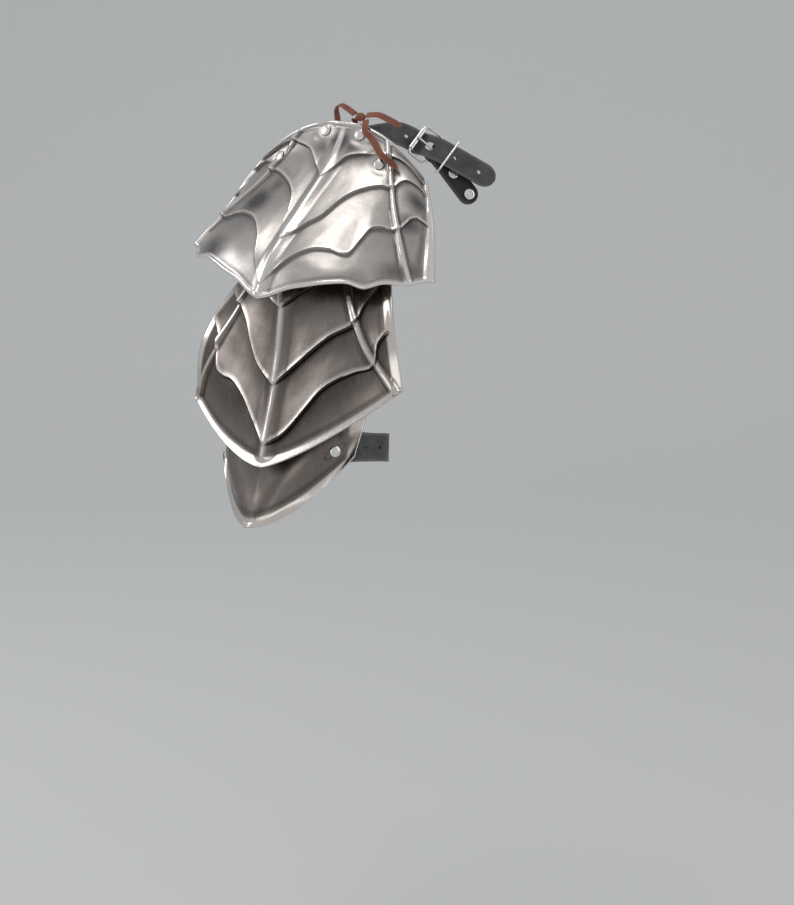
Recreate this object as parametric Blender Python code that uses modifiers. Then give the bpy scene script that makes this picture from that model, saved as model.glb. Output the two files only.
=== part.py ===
"""A left shoulder defence of three steel plates, with its leathers, straps, buckles and lace.

The frame: -Y points away from the wearer's body, +X to the wearer's back and +Z up. The origin is
the top of the ridge on the neck rim, where the piece sits on the shoulder. Lengths are in metres.

Each plate is a grid laid on a formed surface. A share s runs across it, from -1 at the front edge
over 0 on the ridge to 1 at the back edge, and a share v runs down it, from 0 at its top edge.
"""
import math

import bmesh
import bpy
from mathutils import Matrix, Vector

# Steel
STEEL = 0.0016
CLEARANCE = 0.0004
CAP_REACH = 0.116
CAP_DROP = 0.147
CAP_HALF = 0.139
CAP_SIDE_OUT = 0.048
CAP_SIDE_DROP = 0.130
CAP_LEAN = 4.0
LAME_LEAN = -8.0
MID_STANDS_OUT = 0.037
MID_HANGS = 0.139
MID_NARROWER = 0.023
MID_SIDE_OUT = 0.097
MID_SIDE_RISE = 0.055
LOW_STANDS_IN = 0.003
LOW_HANGS = 0.057
LOW_NARROWER = 0.041
LOW_SIDE_OUT = 0.088
LOW_SIDE_RISE = 0.053
LOW_SHIFT = -0.022

# Relief, beaten up from behind
STEP_HIGH = 0.0030
STEP_RUN = 0.0030
RIDGE_HIGH = 0.0045
RIDGE_WIDE = 0.011
RIB_HIGH = 0.0030
RIB_WIDE = 0.0070
RIM_HIGH = 0.0024
RIM_WIDE = 0.0060

# Leather, rivets and wire
STRAP_WIDE = 0.021
STRAP_THICK = 0.0022
ARM_WIDE = 0.025
HANGER_WIDE = 0.020
HANGER_BOW = 0.0009
SEAT = 0.0005
HANGER_THICK = 0.0022
HOLE_RADIUS = 0.0018
HOLE_PITCH = 0.025
RIVET_HEAD = 0.0050
RIVET_DOME = 0.0022
RIVET_SHANK = 0.0016
RIVET_WASHER = 0.0036
WIRE = 0.0030
KEEPER_WIRE = 0.0020
ROLLER_WALL = 0.0007
BUCKLE_REACH = 0.018
BUCKLE_SPAN = 0.030
CHAPE_WIDE = 0.018
CHAPE_THICK = 0.0018
CHAPE_LONG = 0.056
BUCKLE_TURN = 9.0
CHAPE_DRIFT = 16.0
LACE_WIDE = 0.0058
LACE_THICK = 0.0014
ARM_OVERLAP = 34.0
ARM_DROOP = 0.012

MID_REACH = CAP_REACH + MID_STANDS_OUT
MID_DROP = CAP_DROP + MID_HANGS
MID_HALF = CAP_HALF - MID_NARROWER
LOW_REACH = MID_REACH - LOW_STANDS_IN
LOW_DROP = MID_DROP + LOW_HANGS
LOW_HALF = MID_HALF - LOW_NARROWER
ARM_LOOP_HALF = LOW_HALF * 1.04
ARM_LOOP_DEEP = LOW_HALF * 0.80
ARM_LOOP_AT = (0.0, -LOW_REACH * 0.41)

# A row is a section of a plate, at equal steps of v. Its columns are how far the ridge stands out
# and how far it is down, the half width, how far the side edge stands out and is down, each a share
# of the plate's own size, and the powers of the curve from ridge to side, seen from above and from
# the side.
CAP_ROWS = (
    # out, down, half, side_out, side_down, bow, sag
    (0.00, 0.00, 0.66, 0.00, 0.34, 1.8, 2.2),
    (0.16, 0.25, 0.76, 0.21, 0.51, 1.9, 2.4),
    (0.52, 0.52, 0.84, 0.42, 0.69, 2.4, 2.4),
    (0.83, 0.76, 0.92, 0.71, 0.85, 3.0, 1.8),
    (1.00, 1.00, 1.00, 1.00, 1.00, 3.0, 1.3),
)
MID_ROWS = (
    (0.58, 0.41, 0.59, 0.25, 0.43, 2.0, 2.0),
    (0.74, 0.70, 0.91, 0.87, 0.75, 2.0, 1.8),
    (1.00, 1.00, 1.00, 1.00, 1.00, 1.4, 1.4),
)
LOW_ROWS = (
    (0.71, 0.73, 0.75, 0.44, 0.79, 2.3, 1.7),
    (0.84, 0.87, 0.99, 0.73, 0.89, 2.6, 1.1),
    (1.00, 1.00, 1.00, 1.00, 1.00, 1.3, 1.9),
)

# Where the side rib runs: a share of v, then its share s there.
CAP_RIB = ((0.0, 0.52), (0.25, 0.61), (0.5, 0.77), (0.75, 0.87), (1.0, 0.91))
MID_RIB = ((0.0, 0.66), (0.25, 0.67), (0.5, 0.75), (0.75, 0.87), (1.0, 0.96))
LOW_RIB = ((0.0, 0.66), (1.0, 0.66))

# A step arch across a plate: the share u of the way from the ridge (0) over the rib (0.66) to the
# side (1), then v there. The back half is first and the front half second.
CAP_ARCHES = (
    (
        (
            (0.0, 0.33), (0.06, 0.275), (0.14, 0.21), (0.28, 0.175),
            (0.46, 0.145), (0.66, 0.10), (0.80, 0.07), (1.0, 0.06),
        ),
        (
            (0.0, 0.33), (0.14, 0.27), (0.33, 0.175), (0.52, 0.125), (0.70, 0.08), (1.0, 0.06),
        ),
    ),
    (
        (
            (0.0, 0.66), (0.10, 0.56), (0.18, 0.50), (0.25, 0.42), (0.36, 0.356), (0.55, 0.30),
            (0.66, 0.285), (0.745, 0.215), (0.81, 0.18), (0.89, 0.163), (1.0, 0.17),
        ),
        (
            (0.0, 0.66), (0.05, 0.60), (0.08, 0.52), (0.12, 0.46), (0.20, 0.405), (0.34, 0.355),
            (0.56, 0.30), (0.66, 0.285), (0.745, 0.215), (0.81, 0.18), (0.89, 0.163), (1.0, 0.17),
        ),
    ),
    (
        (
            (0.0, 0.92), (0.07, 0.80), (0.135, 0.73), (0.22, 0.68), (0.32, 0.67), (0.42, 0.68),
            (0.46, 0.60), (0.50, 0.53), (0.56, 0.505), (0.66, 0.50), (0.75, 0.444),
            (0.81, 0.406), (0.88, 0.388), (1.0, 0.43),
        ),
        (
            (0.0, 0.92), (0.09, 0.79), (0.165, 0.67), (0.29, 0.58), (0.42, 0.556), (0.51, 0.56),
            (0.66, 0.60), (0.75, 0.50), (0.81, 0.42), (0.88, 0.40), (1.0, 0.43),
        ),
    ),
)
MID_ARCHES = (
    (
        ((0.0, 0.23), (0.25, 0.165), (0.66, 0.13), (1.0, 0.12)),
        ((0.0, 0.23), (0.25, 0.165), (0.66, 0.13), (1.0, 0.12)),
    ),
    (
        ((0.0, 0.62), (0.13, 0.55), (0.30, 0.481), (0.46, 0.438), (0.66, 0.42), (0.78, 0.34), (1.0, 0.24)),
        ((0.0, 0.62), (0.17, 0.531), (0.30, 0.425), (0.42, 0.33), (0.60, 0.27), (0.78, 0.26), (1.0, 0.24)),
    ),
    (
        (
            (0.0, 0.90), (0.12, 0.86), (0.22, 0.788), (0.33, 0.713), (0.44, 0.688),
            (0.55, 0.694), (0.66, 0.72), (0.80, 0.60), (1.0, 0.54),
        ),
        (
            (0.0, 0.90), (0.12, 0.794), (0.24, 0.70), (0.37, 0.644), (0.54, 0.64),
            (0.60, 0.58), (0.70, 0.47), (1.0, 0.40),
        ),
    ),
)

# The hem: a share of the way from ridge to side, then the v at which the plate is cut.
CAP_HEM = (
    (0.0, 1.0), (0.05, 0.985), (0.15, 0.93), (0.25, 0.90), (0.35, 0.875), (0.44, 0.87),
    (0.51, 0.91), (0.58, 0.875), (0.66, 0.90), (0.81, 0.88), (1.0, 0.88),
)
PLAIN_HEM = ((0.0, 1.0), (1.0, 1.0))

STEEL_LOOK = ((0.56, 0.53, 0.50, 1.0), 0.32, 1.0)
DARK_STEEL_LOOK = ((0.40, 0.36, 0.34, 1.0), 0.38, 1.0)
BRIGHT_LOOK = ((0.82, 0.81, 0.79, 1.0), 0.18, 1.0)
BLACK_LEATHER_LOOK = ((0.045, 0.045, 0.048, 1.0), 0.55, 0.0)
GREY_LEATHER_LOOK = ((0.11, 0.11, 0.115, 1.0), 0.60, 0.0)
LACE_LOOK = ((0.42, 0.17, 0.09, 1.0), 0.62, 0.0)

for old in list(bpy.data.objects):
    bpy.data.objects.remove(old, do_unlink=True)

PARTS = bpy.data.collections.new("pauldron")
CUTTERS = bpy.data.collections.new("pauldron_cutters")
bpy.context.scene.collection.children.link(PARTS)
bpy.context.scene.collection.children.link(CUTTERS)


def look(name, spec):
    """A Principled material with a base colour, a roughness and a metallic value."""
    material = bpy.data.materials.new(name)
    material.use_nodes = True
    shader = material.node_tree.nodes["Principled BSDF"]
    colour, rough, metal = spec
    shader.inputs["Base Color"].default_value = colour
    shader.inputs["Roughness"].default_value = rough
    shader.inputs["Metallic"].default_value = metal
    material.diffuse_color = colour
    return material


def curve(points, at):
    """The height at a place along a short table of pairs, on a smooth curve through them."""
    if at <= points[0][0]:
        return points[0][1]
    if at >= points[-1][0]:
        return points[-1][1]
    last = len(points) - 1
    k = max(i for i in range(last) if points[i][0] <= at)

    def slope(i):
        a = max(i - 1, 0)
        b = min(i + 1, last)
        return (points[b][1] - points[a][1]) / (points[b][0] - points[a][0])

    x0, y0 = points[k]
    x1, y1 = points[k + 1]
    step = x1 - x0
    t = (at - x0) / step
    start = y0 * (1 + 2 * t) * (1 - t) ** 2 + slope(k) * step * t * (1 - t) ** 2
    return start + y1 * t * t * (3 - 2 * t) - slope(k + 1) * step * t * t * (1 - t)


def smooth(t):
    """An S-curve from 0 to 1."""
    t = min(max(t, 0.0), 1.0)
    return t * t * (3 - 2 * t)


def path(points, looks, count):
    """Evenly shared places on a smooth curve through 3-D points, and the way each of them looks."""
    run = [0.0]
    for a, b in zip(points, points[1:]):
        run.append(run[-1] + (b - a).length)

    def read(values):
        tables = [[(t, value[axis]) for t, value in zip(run, values)] for axis in range(3)]
        return [Vector([curve(table, run[-1] * i / (count - 1)) for table in tables]) for i in range(count)]

    return read(points), [look_way.normalized() for look_way in read(looks)]


class Plate:
    """One formed plate: its sizes, its section rows, and where its rib, arches and hem run."""

    def __init__(self, rows, sizes, lean, pivot, shift, rib, arches, hem, rims, ribbed):
        self.rows = rows
        self.sizes = sizes
        self.lean = math.radians(lean)
        self.pivot = pivot
        self.shift = shift
        self.rib = rib
        self.arches = arches
        self.hem = hem
        self.rims = rims
        self.ribbed = ribbed
        self.pads = []
        self.half = sizes[2]
        self.long = (self.base(0, 1) - self.base(0, 0)).length * 1.04

    def base(self, s, v):
        """A point of the surface before its relief."""
        count = len(self.rows) - 1
        table = [[(i / count, row[c]) for i, row in enumerate(self.rows)] for c in range(7)]
        out, down, half, side_out, side_down, bow, sag = [curve(t, v) for t in table]
        out *= self.sizes[0]
        down *= self.sizes[1]
        half *= self.sizes[2]
        side_out *= self.sizes[3]
        side_down *= self.sizes[4]
        a = abs(s)
        x = half * s
        y = -(out + (side_out - out) * a ** bow)
        z = -(down + (side_down - down) * a ** sag) - self.pivot
        c = math.cos(self.lean)
        n = math.sin(self.lean)
        return Vector((self.shift + x * c + z * n, y, self.pivot - x * n + z * c))

    def normal(self, s, v):
        """The outward direction of the surface before its relief."""
        step = 0.01
        across = self.base(s + step, v) - self.base(s - step, v)
        low = max(v - step, 0.0)
        high = min(v + step, 1.0)
        down = self.base(s, high) - self.base(s, low)
        return down.cross(across).normalized()

    def share(self, u, v):
        """The share s of a place u of the way from the ridge over the rib to the side."""
        a = abs(u)
        rib = curve(self.rib, v)
        s = rib * a / 0.66 if a <= 0.66 else rib + (1 - rib) * (a - 0.66) / 0.34
        return math.copysign(s, u)

    def line(self, k, u):
        """The v of the top edge, of each arch and of the hem, counted from the top."""
        if k == 0:
            return 0.0
        if k > len(self.arches):
            return curve(self.hem, abs(u))
        back, front = self.arches[k - 1]
        return curve(back if u >= 0 else front, abs(u))

    def relief(self, u, v):
        """How far the metal is raised at a place."""
        s = self.share(u, v)
        width = self.half * (0.7 + 0.3 * v)
        lines = [self.line(k, u) for k in range(len(self.arches) + 2)]
        high = 0.0
        for k in range(len(lines) - 1):
            if not lines[k] - 1e-9 <= v <= lines[k + 1] + 1e-9:
                continue
            band = max(lines[k + 1] - lines[k], 1e-6)
            f = (v - lines[k]) / band
            if k + 1 < len(lines) - 1:
                high = max(high, STEP_HIGH * f ** 1.6) if f < 0.999 else high
            if k > 0:
                past = (v - lines[k]) * self.long
                high += STEP_HIGH * (1 - smooth(past / STEP_RUN))
            break
        high *= 0.35 + 0.65 * smooth(abs(s) * width / RIDGE_WIDE)
        wide = RIDGE_WIDE * (1.5 - 0.7 * smooth(v / 0.4)) if self.rims[0] else RIDGE_WIDE
        ridge = RIDGE_HIGH * (smooth(v / 0.35) if self.rims[0] else 1.0)
        if not self.ribbed:
            wide = RIDGE_WIDE * 2.2
            ridge = RIDGE_HIGH * 0.5
        high += ridge * max(0.0, 1 - abs(s) * width / wide) ** 1.4
        if self.ribbed:
            off = abs(abs(s) - curve(self.rib, v)) * width / (RIB_WIDE / 2)
            if off < 1:
                high += RIB_HIGH * math.sqrt(1 - off * off)
        edges = []
        if self.rims[0]:
            edges.append(v * self.long)
        if self.rims[1]:
            edges.append((1 - abs(s)) * width)
        if self.rims[2]:
            edges.append((lines[-1] - v) * self.long)
        near = min(edges) if edges else 1.0
        if near < RIM_WIDE:
            t = (near - RIM_WIDE / 2) / (RIM_WIDE / 2)
            bead = RIM_HIGH * math.sqrt(max(0.0, 1 - t * t))
            flare = RIM_HIGH * (1 - smooth(near / RIM_WIDE * 0.9))
            high = max(high * smooth(near / RIM_WIDE), bead if self.rims[0] else flare)
        for pad_s, pad_v in self.pads:
            away = math.hypot((s - pad_s) * width, (v - pad_v) * self.long)
            high *= smooth((away - RIVET_HEAD * 2.6) / 0.006)
        return high

    def outer(self, u, v):
        """A point of the finished outer face."""
        s = self.share(u, v)
        return self.base(s, v) + self.normal(s, v) * self.relief(u, v)

    def inside(self, s, v, depth):
        """A point a depth below the outer face before its relief."""
        return self.base(s, v) - self.normal(s, v) * depth

    def build(self, name, material, columns, rows):
        """The plate as a grid of columns and rows, thickened inwards."""
        bm = bmesh.new()
        wide = len(columns) - 1
        tall = len(rows) - 1
        bmesh.ops.create_grid(bm, x_segments=wide, y_segments=tall, size=0.5)
        for vert in bm.verts:
            i = round((vert.co.x + 0.5) * wide)
            j = round((vert.co.y + 0.5) * tall)
            u = columns[i][0]
            for _ in range(3):
                v = self.row_v(u, *rows[j])
                s = self.column_s(*columns[i], v)
                u = self.column_u(s, v)
            vert.co = self.base(s, v) + self.normal(s, v) * self.relief(u, v)
        bm.normal_update()
        facing = sum(1 if f.normal.dot(Vector((0, -1, 0.2))) > 0 else -1 for f in bm.faces)
        if facing < 0:
            bmesh.ops.reverse_faces(bm, faces=bm.faces[:])
        obj = new_object(name, bm, material)
        wall = obj.modifiers.new("wall", "SOLIDIFY")
        wall.thickness = STEEL
        wall.offset = -1.0
        wall.use_quality_normals = True
        return obj

    def row_v(self, u, k, f, past):
        """The v of a row: a share f of the way past line k, starting a distance past it."""
        last = len(self.arches) + 1
        if past < 0:
            return self.line(last, u) + past / self.long
        start = self.line(k, u) + past / self.long
        if f == 0:
            return start
        end = self.line(k + 1, u)
        if k + 1 == last:
            end -= RIM_WIDE / self.long
        return start + (end - start) * f

    def column_s(self, u, mm, v):
        """The share s of a column: clear of the rib's foot and of the side rim, then moved by mm."""
        width = self.half * (0.7 + 0.3 * v)
        a = abs(u)
        if a in (0.0, 0.66, 1.0):
            return self.share(u, v) + mm / width
        rib = curve(self.rib, v)
        foot = RIB_WIDE / 2 / width
        if a < 0.66:
            return math.copysign((rib - foot) * a / 0.66, u)
        outer_end = 1 - RIM_WIDE / width
        return math.copysign(rib + foot + (outer_end - rib - foot) * (a - 0.66) / 0.34, u)

    def column_u(self, s, v):
        """The place u of a share s."""
        a = min(abs(s), 1.0)
        rib = curve(self.rib, v)
        u = 0.66 * a / rib if a <= rib else 0.66 + 0.34 * (a - rib) / (1 - rib)
        return math.copysign(u, s)


def new_object(name, bm, material, collection=None):
    """A mesh object made from a bmesh, shaded smooth except at sharp edges."""
    mesh = bpy.data.meshes.new(name)
    bm.to_mesh(mesh)
    bm.free()
    obj = bpy.data.objects.new(name, mesh)
    (collection or PARTS).objects.link(obj)
    if material:
        mesh.materials.append(material)
    mesh.shade_smooth()
    mesh.set_sharp_from_angle(angle=math.radians(35))
    return obj


def mirrored(half):
    """Columns for both sides of the ridge from those of the back half."""
    return [(-u, -mm) for u, mm in reversed(half) if u != 0 or mm != 0] + list(half)


def along(axis):
    """A rotation that turns +Z to an axis."""
    return axis.normalized().to_track_quat("Z", "Y").to_matrix().to_4x4()


def drill(target, place, axis, radius, deep, sides=10):
    """Cut a round hole through a piece."""
    bm = bmesh.new()
    bmesh.ops.create_cone(bm, cap_ends=True, segments=sides, radius1=radius, radius2=radius, depth=deep)
    cutter = new_object(target.name + "_hole", bm, None, CUTTERS)
    cutter.matrix_world = Matrix.Translation(place) @ along(axis)
    cutter.hide_render = True
    cutter.display_type = "WIRE"
    cut = target.modifiers.new("hole", "BOOLEAN")
    cut.operation = "DIFFERENCE"
    cut.solver = "EXACT"
    cut.object = cutter
    return cutter


def turned(name, profile, place, axis, material, steps=8):
    """A turned piece: a profile of radius and height, from the top down, about an axis."""
    bm = bmesh.new()
    verts = [bm.verts.new((r, 0, z)) for r, z in profile]
    for a, b in zip(verts, verts[1:]):
        bm.edges.new((a, b))
    obj = new_object(name, bm, material)
    obj.matrix_world = Matrix.Translation(place) @ along(axis)
    screw = obj.modifiers.new("turn", "SCREW")
    screw.axis = "Z"
    screw.steps = steps
    screw.render_steps = steps
    screw.use_merge_vertices = True
    screw.merge_threshold = 0.00001
    return obj


def rivet(name, place, axis, deep, material, head=RIVET_HEAD, dome=RIVET_DOME):
    """A domed rivet whose washer lies a depth below its head."""
    low = CLEARANCE * 1.4
    profile = (
        (0.0, low + dome),
        (head * 0.55, low + dome * 0.86),
        (head * 0.88, low + dome * 0.5),
        (head, low),
        (RIVET_SHANK, low),
        (RIVET_SHANK, -deep),
        (RIVET_WASHER, -deep),
        (RIVET_WASHER, -deep - 0.0010),
        (0.0, -deep - 0.0010),
    )
    return turned(name, profile, place, axis, material)


def ribbon(name, places, faces, widths, thick, material, bow=0.0):
    """A strap along places, with the direction that its face looks at each of them and its bow."""
    bm = bmesh.new()
    count = len(places) - 1
    bmesh.ops.create_grid(bm, x_segments=2, y_segments=count, size=0.5)
    for vert in bm.verts:
        side = round(vert.co.x * 2)
        j = round((vert.co.y + 0.5) * count)
        ahead = places[min(j + 1, count)] - places[max(j - 1, 0)]
        across = ahead.cross(faces[j]).normalized()
        vert.co = places[j] + across * (side * widths[j] / 2) - faces[j] * (bow * abs(side))
    bm.normal_update()
    obj = new_object(name, bm, material)
    wall = obj.modifiers.new("leather", "SOLIDIFY")
    wall.thickness = thick
    wall.offset = 0.0
    return obj


def wire(name, places, thick, material, closed=False, sides=2):
    """A bent wire through places."""
    data = bpy.data.curves.new(name, "CURVE")
    data.dimensions = "3D"
    data.bevel_depth = thick / 2
    data.bevel_resolution = sides
    data.use_fill_caps = not closed
    spline = data.splines.new("POLY")
    spline.points.add(len(places) - 1)
    for point, place in zip(spline.points, places):
        point.co = (*place, 1.0)
    spline.use_cyclic_u = closed
    obj = bpy.data.objects.new(name, data)
    PARTS.objects.link(obj)
    data.materials.append(material)
    return obj


steel = look("steel", STEEL_LOOK)
dark_steel = look("dark_steel", DARK_STEEL_LOOK)
bright = look("bright_metal", BRIGHT_LOOK)
black_leather = look("black_leather", BLACK_LEATHER_LOOK)
grey_leather = look("grey_leather", GREY_LEATHER_LOOK)
lace_leather = look("lace_leather", LACE_LOOK)

# The three plates
PIVOT = -0.82 * CAP_DROP
cap = Plate(
    CAP_ROWS, (CAP_REACH, CAP_DROP, CAP_HALF, CAP_SIDE_OUT, CAP_SIDE_DROP), CAP_LEAN, 0.0, 0.0,
    CAP_RIB, CAP_ARCHES, CAP_HEM, (True, True, True), True,
)
mid = Plate(
    MID_ROWS,
    (MID_REACH, MID_DROP, MID_HALF, MID_SIDE_OUT, MID_DROP - MID_SIDE_RISE),
    LAME_LEAN, PIVOT, 0.0,
    MID_RIB, MID_ARCHES, PLAIN_HEM, (False, True, True), True,
)
low = Plate(
    LOW_ROWS,
    (LOW_REACH, LOW_DROP, LOW_HALF, LOW_SIDE_OUT, LOW_DROP - LOW_SIDE_RISE),
    LAME_LEAN + 1, PIVOT, LOW_SHIFT,
    LOW_RIB, (), PLAIN_HEM, (False, True, True), False,
)

# Rivet places, as shares s and v of their plate
RIM_RIVETS = {"rim_rivet_front": (-0.20, 0.062), "rim_rivet_back": (0.20, 0.062)}
HANGER_RIVETS = {"front": (-0.66, 0.17), "back": (0.46, 0.185)}
MID_HANG = {"front": (-0.62, 0.07), "back": (0.50, 0.07)}
LOW_HANG = {"front": (-0.60, 0.14), "back": (0.58, 0.14)}
ARM_RIVETS = {"arm_rivet_front": (-0.78, 0.74), "arm_rivet_back": (0.82, 0.74)}
cap.pads = list(RIM_RIVETS.values()) + list(HANGER_RIVETS.values())
mid.pads = list(MID_HANG.values())
low.pads = list(LOW_HANG.values()) + list(ARM_RIVETS.values())

BEAD = (0.0, RIM_WIDE * 0.2, RIM_WIDE * 0.8, RIM_WIDE)
RIB_COLUMNS = [(0.66, RIB_WIDE * f) for f in (-0.5, 0.0, 0.5)]
SIDE_COLUMNS = [(1.0, -d) for d in reversed(BEAD)]
CREST = RIDGE_WIDE * 0.4
columns = mirrored(
    [(0.0, 0.0), (0.0, CREST)] + [(u, 0.0) for u in (0.11, 0.22, 0.33, 0.43, 0.52)]
    + RIB_COLUMNS + [(u, 0.0) for u in (0.74, 0.82, 0.90)] + SIDE_COLUMNS
)
mid_columns = mirrored(
    [(0.0, 0.0), (0.0, CREST)] + [(u, 0.0) for u in (0.12, 0.24, 0.37, 0.50)]
    + RIB_COLUMNS + [(u, 0.0) for u in (0.76, 0.88)] + SIDE_COLUMNS
)
HEM_ROWS = [(0, 0, -d) for d in (RIM_WIDE, RIM_WIDE * 0.8, RIM_WIDE * 0.2)] + [(0, 0, -1e-7)]
cap_rows = [(0, 0, d) for d in BEAD] + [(0, 0.4, RIM_WIDE), (0, 0.75, RIM_WIDE)]
cap_rows += [(1, 0, 0), (1, 0, STEP_RUN), (1, 0.35, STEP_RUN), (1, 0.7, STEP_RUN)]
cap_rows += [(2, 0, 0), (2, 0, STEP_RUN), (2, 0.35, STEP_RUN), (2, 0.7, STEP_RUN)]
cap_rows += [(3, 0, 0), (3, 0, STEP_RUN), (3, 0.5, STEP_RUN)] + HEM_ROWS
shoulder_cap = cap.build("shoulder_cap", steel, columns, cap_rows)

mid_rows = [(0, 0, 0), (0, 0.5, 0), (1, 0, 0), (1, 0, STEP_RUN), (1, 0.35, STEP_RUN), (1, 0.7, STEP_RUN)]
mid_rows += [(2, 0, 0), (2, 0, STEP_RUN), (2, 0.35, STEP_RUN), (2, 0.7, STEP_RUN)]
mid_rows += [(3, 0, 0), (3, 0, STEP_RUN), (3, 0.5, STEP_RUN)] + HEM_ROWS
middle_lame = mid.build("middle_lame", dark_steel, mid_columns, mid_rows)

low_columns = mirrored(
    [(0.0, 0.0), (0.0, CREST)]
    + [(u, 0.0) for u in (0.12, 0.24, 0.36, 0.48, 0.60, 0.72, 0.84)]
    + SIDE_COLUMNS
)
low_rows = [(0, f, 0) for f in (0, 0.2, 0.4, 0.6, 0.8)] + HEM_ROWS
lower_lame = low.build("lower_lame", dark_steel, low_columns, low_rows)

# The leathers that the lames hang on, inside, from the cap's outer rivets
BEHIND = STEEL + CLEARANCE + HANGER_THICK / 2
hangers = {}
for side, (cap_s, cap_v) in HANGER_RIVETS.items():
    mid_s, mid_v = MID_HANG[side]
    low_s, low_v = LOW_HANG[side]
    route = [
        cap.inside(cap_s, cap_v - 0.06, BEHIND + 0.0006),
        cap.inside(cap_s, cap_v, BEHIND + SEAT),
        cap.inside(cap_s, cap_v + 0.06, BEHIND + 0.0012),
        (cap.inside(cap_s, cap_v + 0.06, BEHIND + 0.004) + mid.inside(mid_s, 0.0, BEHIND + 0.004)) / 2,
        mid.inside(mid_s, 0.0, BEHIND + 0.0020),
        mid.inside(mid_s, mid_v, BEHIND + SEAT + 0.0006),
        mid.inside(mid_s, mid_v + 0.10, BEHIND + 0.0022),
        mid.inside(mid_s * 0.9, 0.36, BEHIND + 0.006),
        low.inside(low_s, 0.0, BEHIND + 0.0060) + Vector((0, 0, 0.012)),
        low.inside(low_s, low_v - 0.09, BEHIND + 0.0040),
        low.inside(low_s, low_v, BEHIND + SEAT + 0.0010),
        low.inside(low_s, low_v + 0.12, BEHIND + 0.0028),
    ]
    looks = [cap.normal(cap_s, cap_v)] * 3 + [cap.normal(cap_s, 0.4)]
    looks += [mid.normal(mid_s, mid_v)] * 3 + [mid.normal(mid_s, 0.5)]
    looks += [low.normal(low_s, low_v)] * 4
    places, faces = path(route, looks, 27)
    hangers[side] = ribbon(
        "hanging_leather_" + side, places, faces, [HANGER_WIDE] * 27, HANGER_THICK, black_leather,
        HANGER_BOW,
    )

STACK = STEEL + HANGER_THICK + 2 * CLEARANCE + SEAT + 0.0004
SHANK_HOLE = RIVET_SHANK + CLEARANCE


def join(name, plate, s, v, pieces, stack):
    """A rivet through a plate and the leather behind it."""
    place = plate.base(s, v)
    axis = plate.normal(s, v)
    for piece in pieces:
        drill(piece, place, axis, SHANK_HOLE, 0.016)
    return rivet(name, place, axis, stack, bright)


for side in ("front", "back"):
    join("hanger_rivet_" + side, cap, *HANGER_RIVETS[side], (shoulder_cap, hangers[side]), STACK)
    join("middle_rivet_" + side, mid, *MID_HANG[side], (middle_lame, hangers[side]), STACK + 0.0006)
    join("lower_rivet_" + side, low, *LOW_HANG[side], (lower_lame, hangers[side]), STACK + 0.0010)

# The shoulder strap: it lies under the neck rim between the two rim rivets, leaves it at the back
# and runs through its buckle
BUCKLE_AT = Vector((0.069, 0.039, -0.025))
STRAP_RUN = Vector((0.68, 0.55, -0.49)).normalized()
STRAP_FACE = Vector((0.70, -0.59, 0.285))
STRAP_FACE = (STRAP_FACE - STRAP_RUN * STRAP_FACE.dot(STRAP_RUN)).normalized()
STRAP_TIP = 0.060
UNDER = STEEL + CLEARANCE + STRAP_THICK / 2
OVER_BAR = WIRE / 2 + 2 * CLEARANCE + CHAPE_THICK + STRAP_THICK / 2 + CLEARANCE
UNDER_ROLLER = WIRE / 2 + 3 * CLEARANCE + ROLLER_WALL + STRAP_THICK / 2
rim_v = RIM_RIVETS["rim_rivet_back"][1]
LACE_SLACK = LACE_THICK + 4 * CLEARANCE


def on_buckle(along_run, off):
    """A place on the straight run at the buckle."""
    return BUCKLE_AT + STRAP_RUN * along_run + STRAP_FACE * off


strap_route = [cap.inside(s, rim_v, UNDER + slack) for s, slack in (
    (-0.34, 0.0008), (-0.24, 0.0004), (-0.20, 0.0003), (-0.16, 0.0004),
    (-0.09, LACE_SLACK), (0.0, LACE_SLACK * 1.2),
    (0.09, LACE_SLACK), (0.16, 0.0004), (0.20, 0.0003), (0.24, 0.0006),
)]
look_shares = (-0.34, -0.24, -0.20, -0.16, -0.09, 0.0, 0.09, 0.16, 0.20, 0.24)
strap_looks = [cap.normal(s, rim_v) for s in look_shares]
strap_route += [Vector((0.032, 0.010, -0.0115)), Vector((0.041, 0.022, -0.0105))]
strap_looks += [Vector((0.60, -0.66, 0.45)), Vector((0.64, -0.64, 0.40))]
strap_route += [
    on_buckle(-BUCKLE_REACH - 0.007, -UNDER_ROLLER),
    on_buckle(-BUCKLE_REACH + 0.003, -UNDER_ROLLER),
    on_buckle(-0.0085, 0.0010),
    on_buckle(-0.0030, OVER_BAR - 0.0006),
    on_buckle(0.003, OVER_BAR + 0.0010),
    on_buckle(0.020, OVER_BAR + 0.0014),
]
strap_route += [on_buckle(0.040, OVER_BAR + 0.0014), on_buckle(STRAP_TIP, OVER_BAR + 0.0010)]
strap_looks += [STRAP_FACE] * 8
STRAP_COUNT = 50
strap_places, strap_faces = path(strap_route, strap_looks, STRAP_COUNT)


def tipped(count, wide, tip):
    """Widths along a strap that narrow over the last places to a rounded point."""
    widths = [wide] * count
    for i, f in enumerate(tip):
        widths[count - len(tip) + i] = wide * f
    return widths


shoulder_strap = ribbon(
    "shoulder_strap", strap_places, strap_faces,
    tipped(STRAP_COUNT, STRAP_WIDE, (0.98, 0.9, 0.72, 0.42, 0.12)),
    STRAP_THICK, grey_leather,
)
for name, (s, v) in RIM_RIVETS.items():
    join(name, cap, s, v, (shoulder_cap, shoulder_strap), STEEL + STRAP_THICK + 2 * CLEARANCE + 0.0010)


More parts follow.
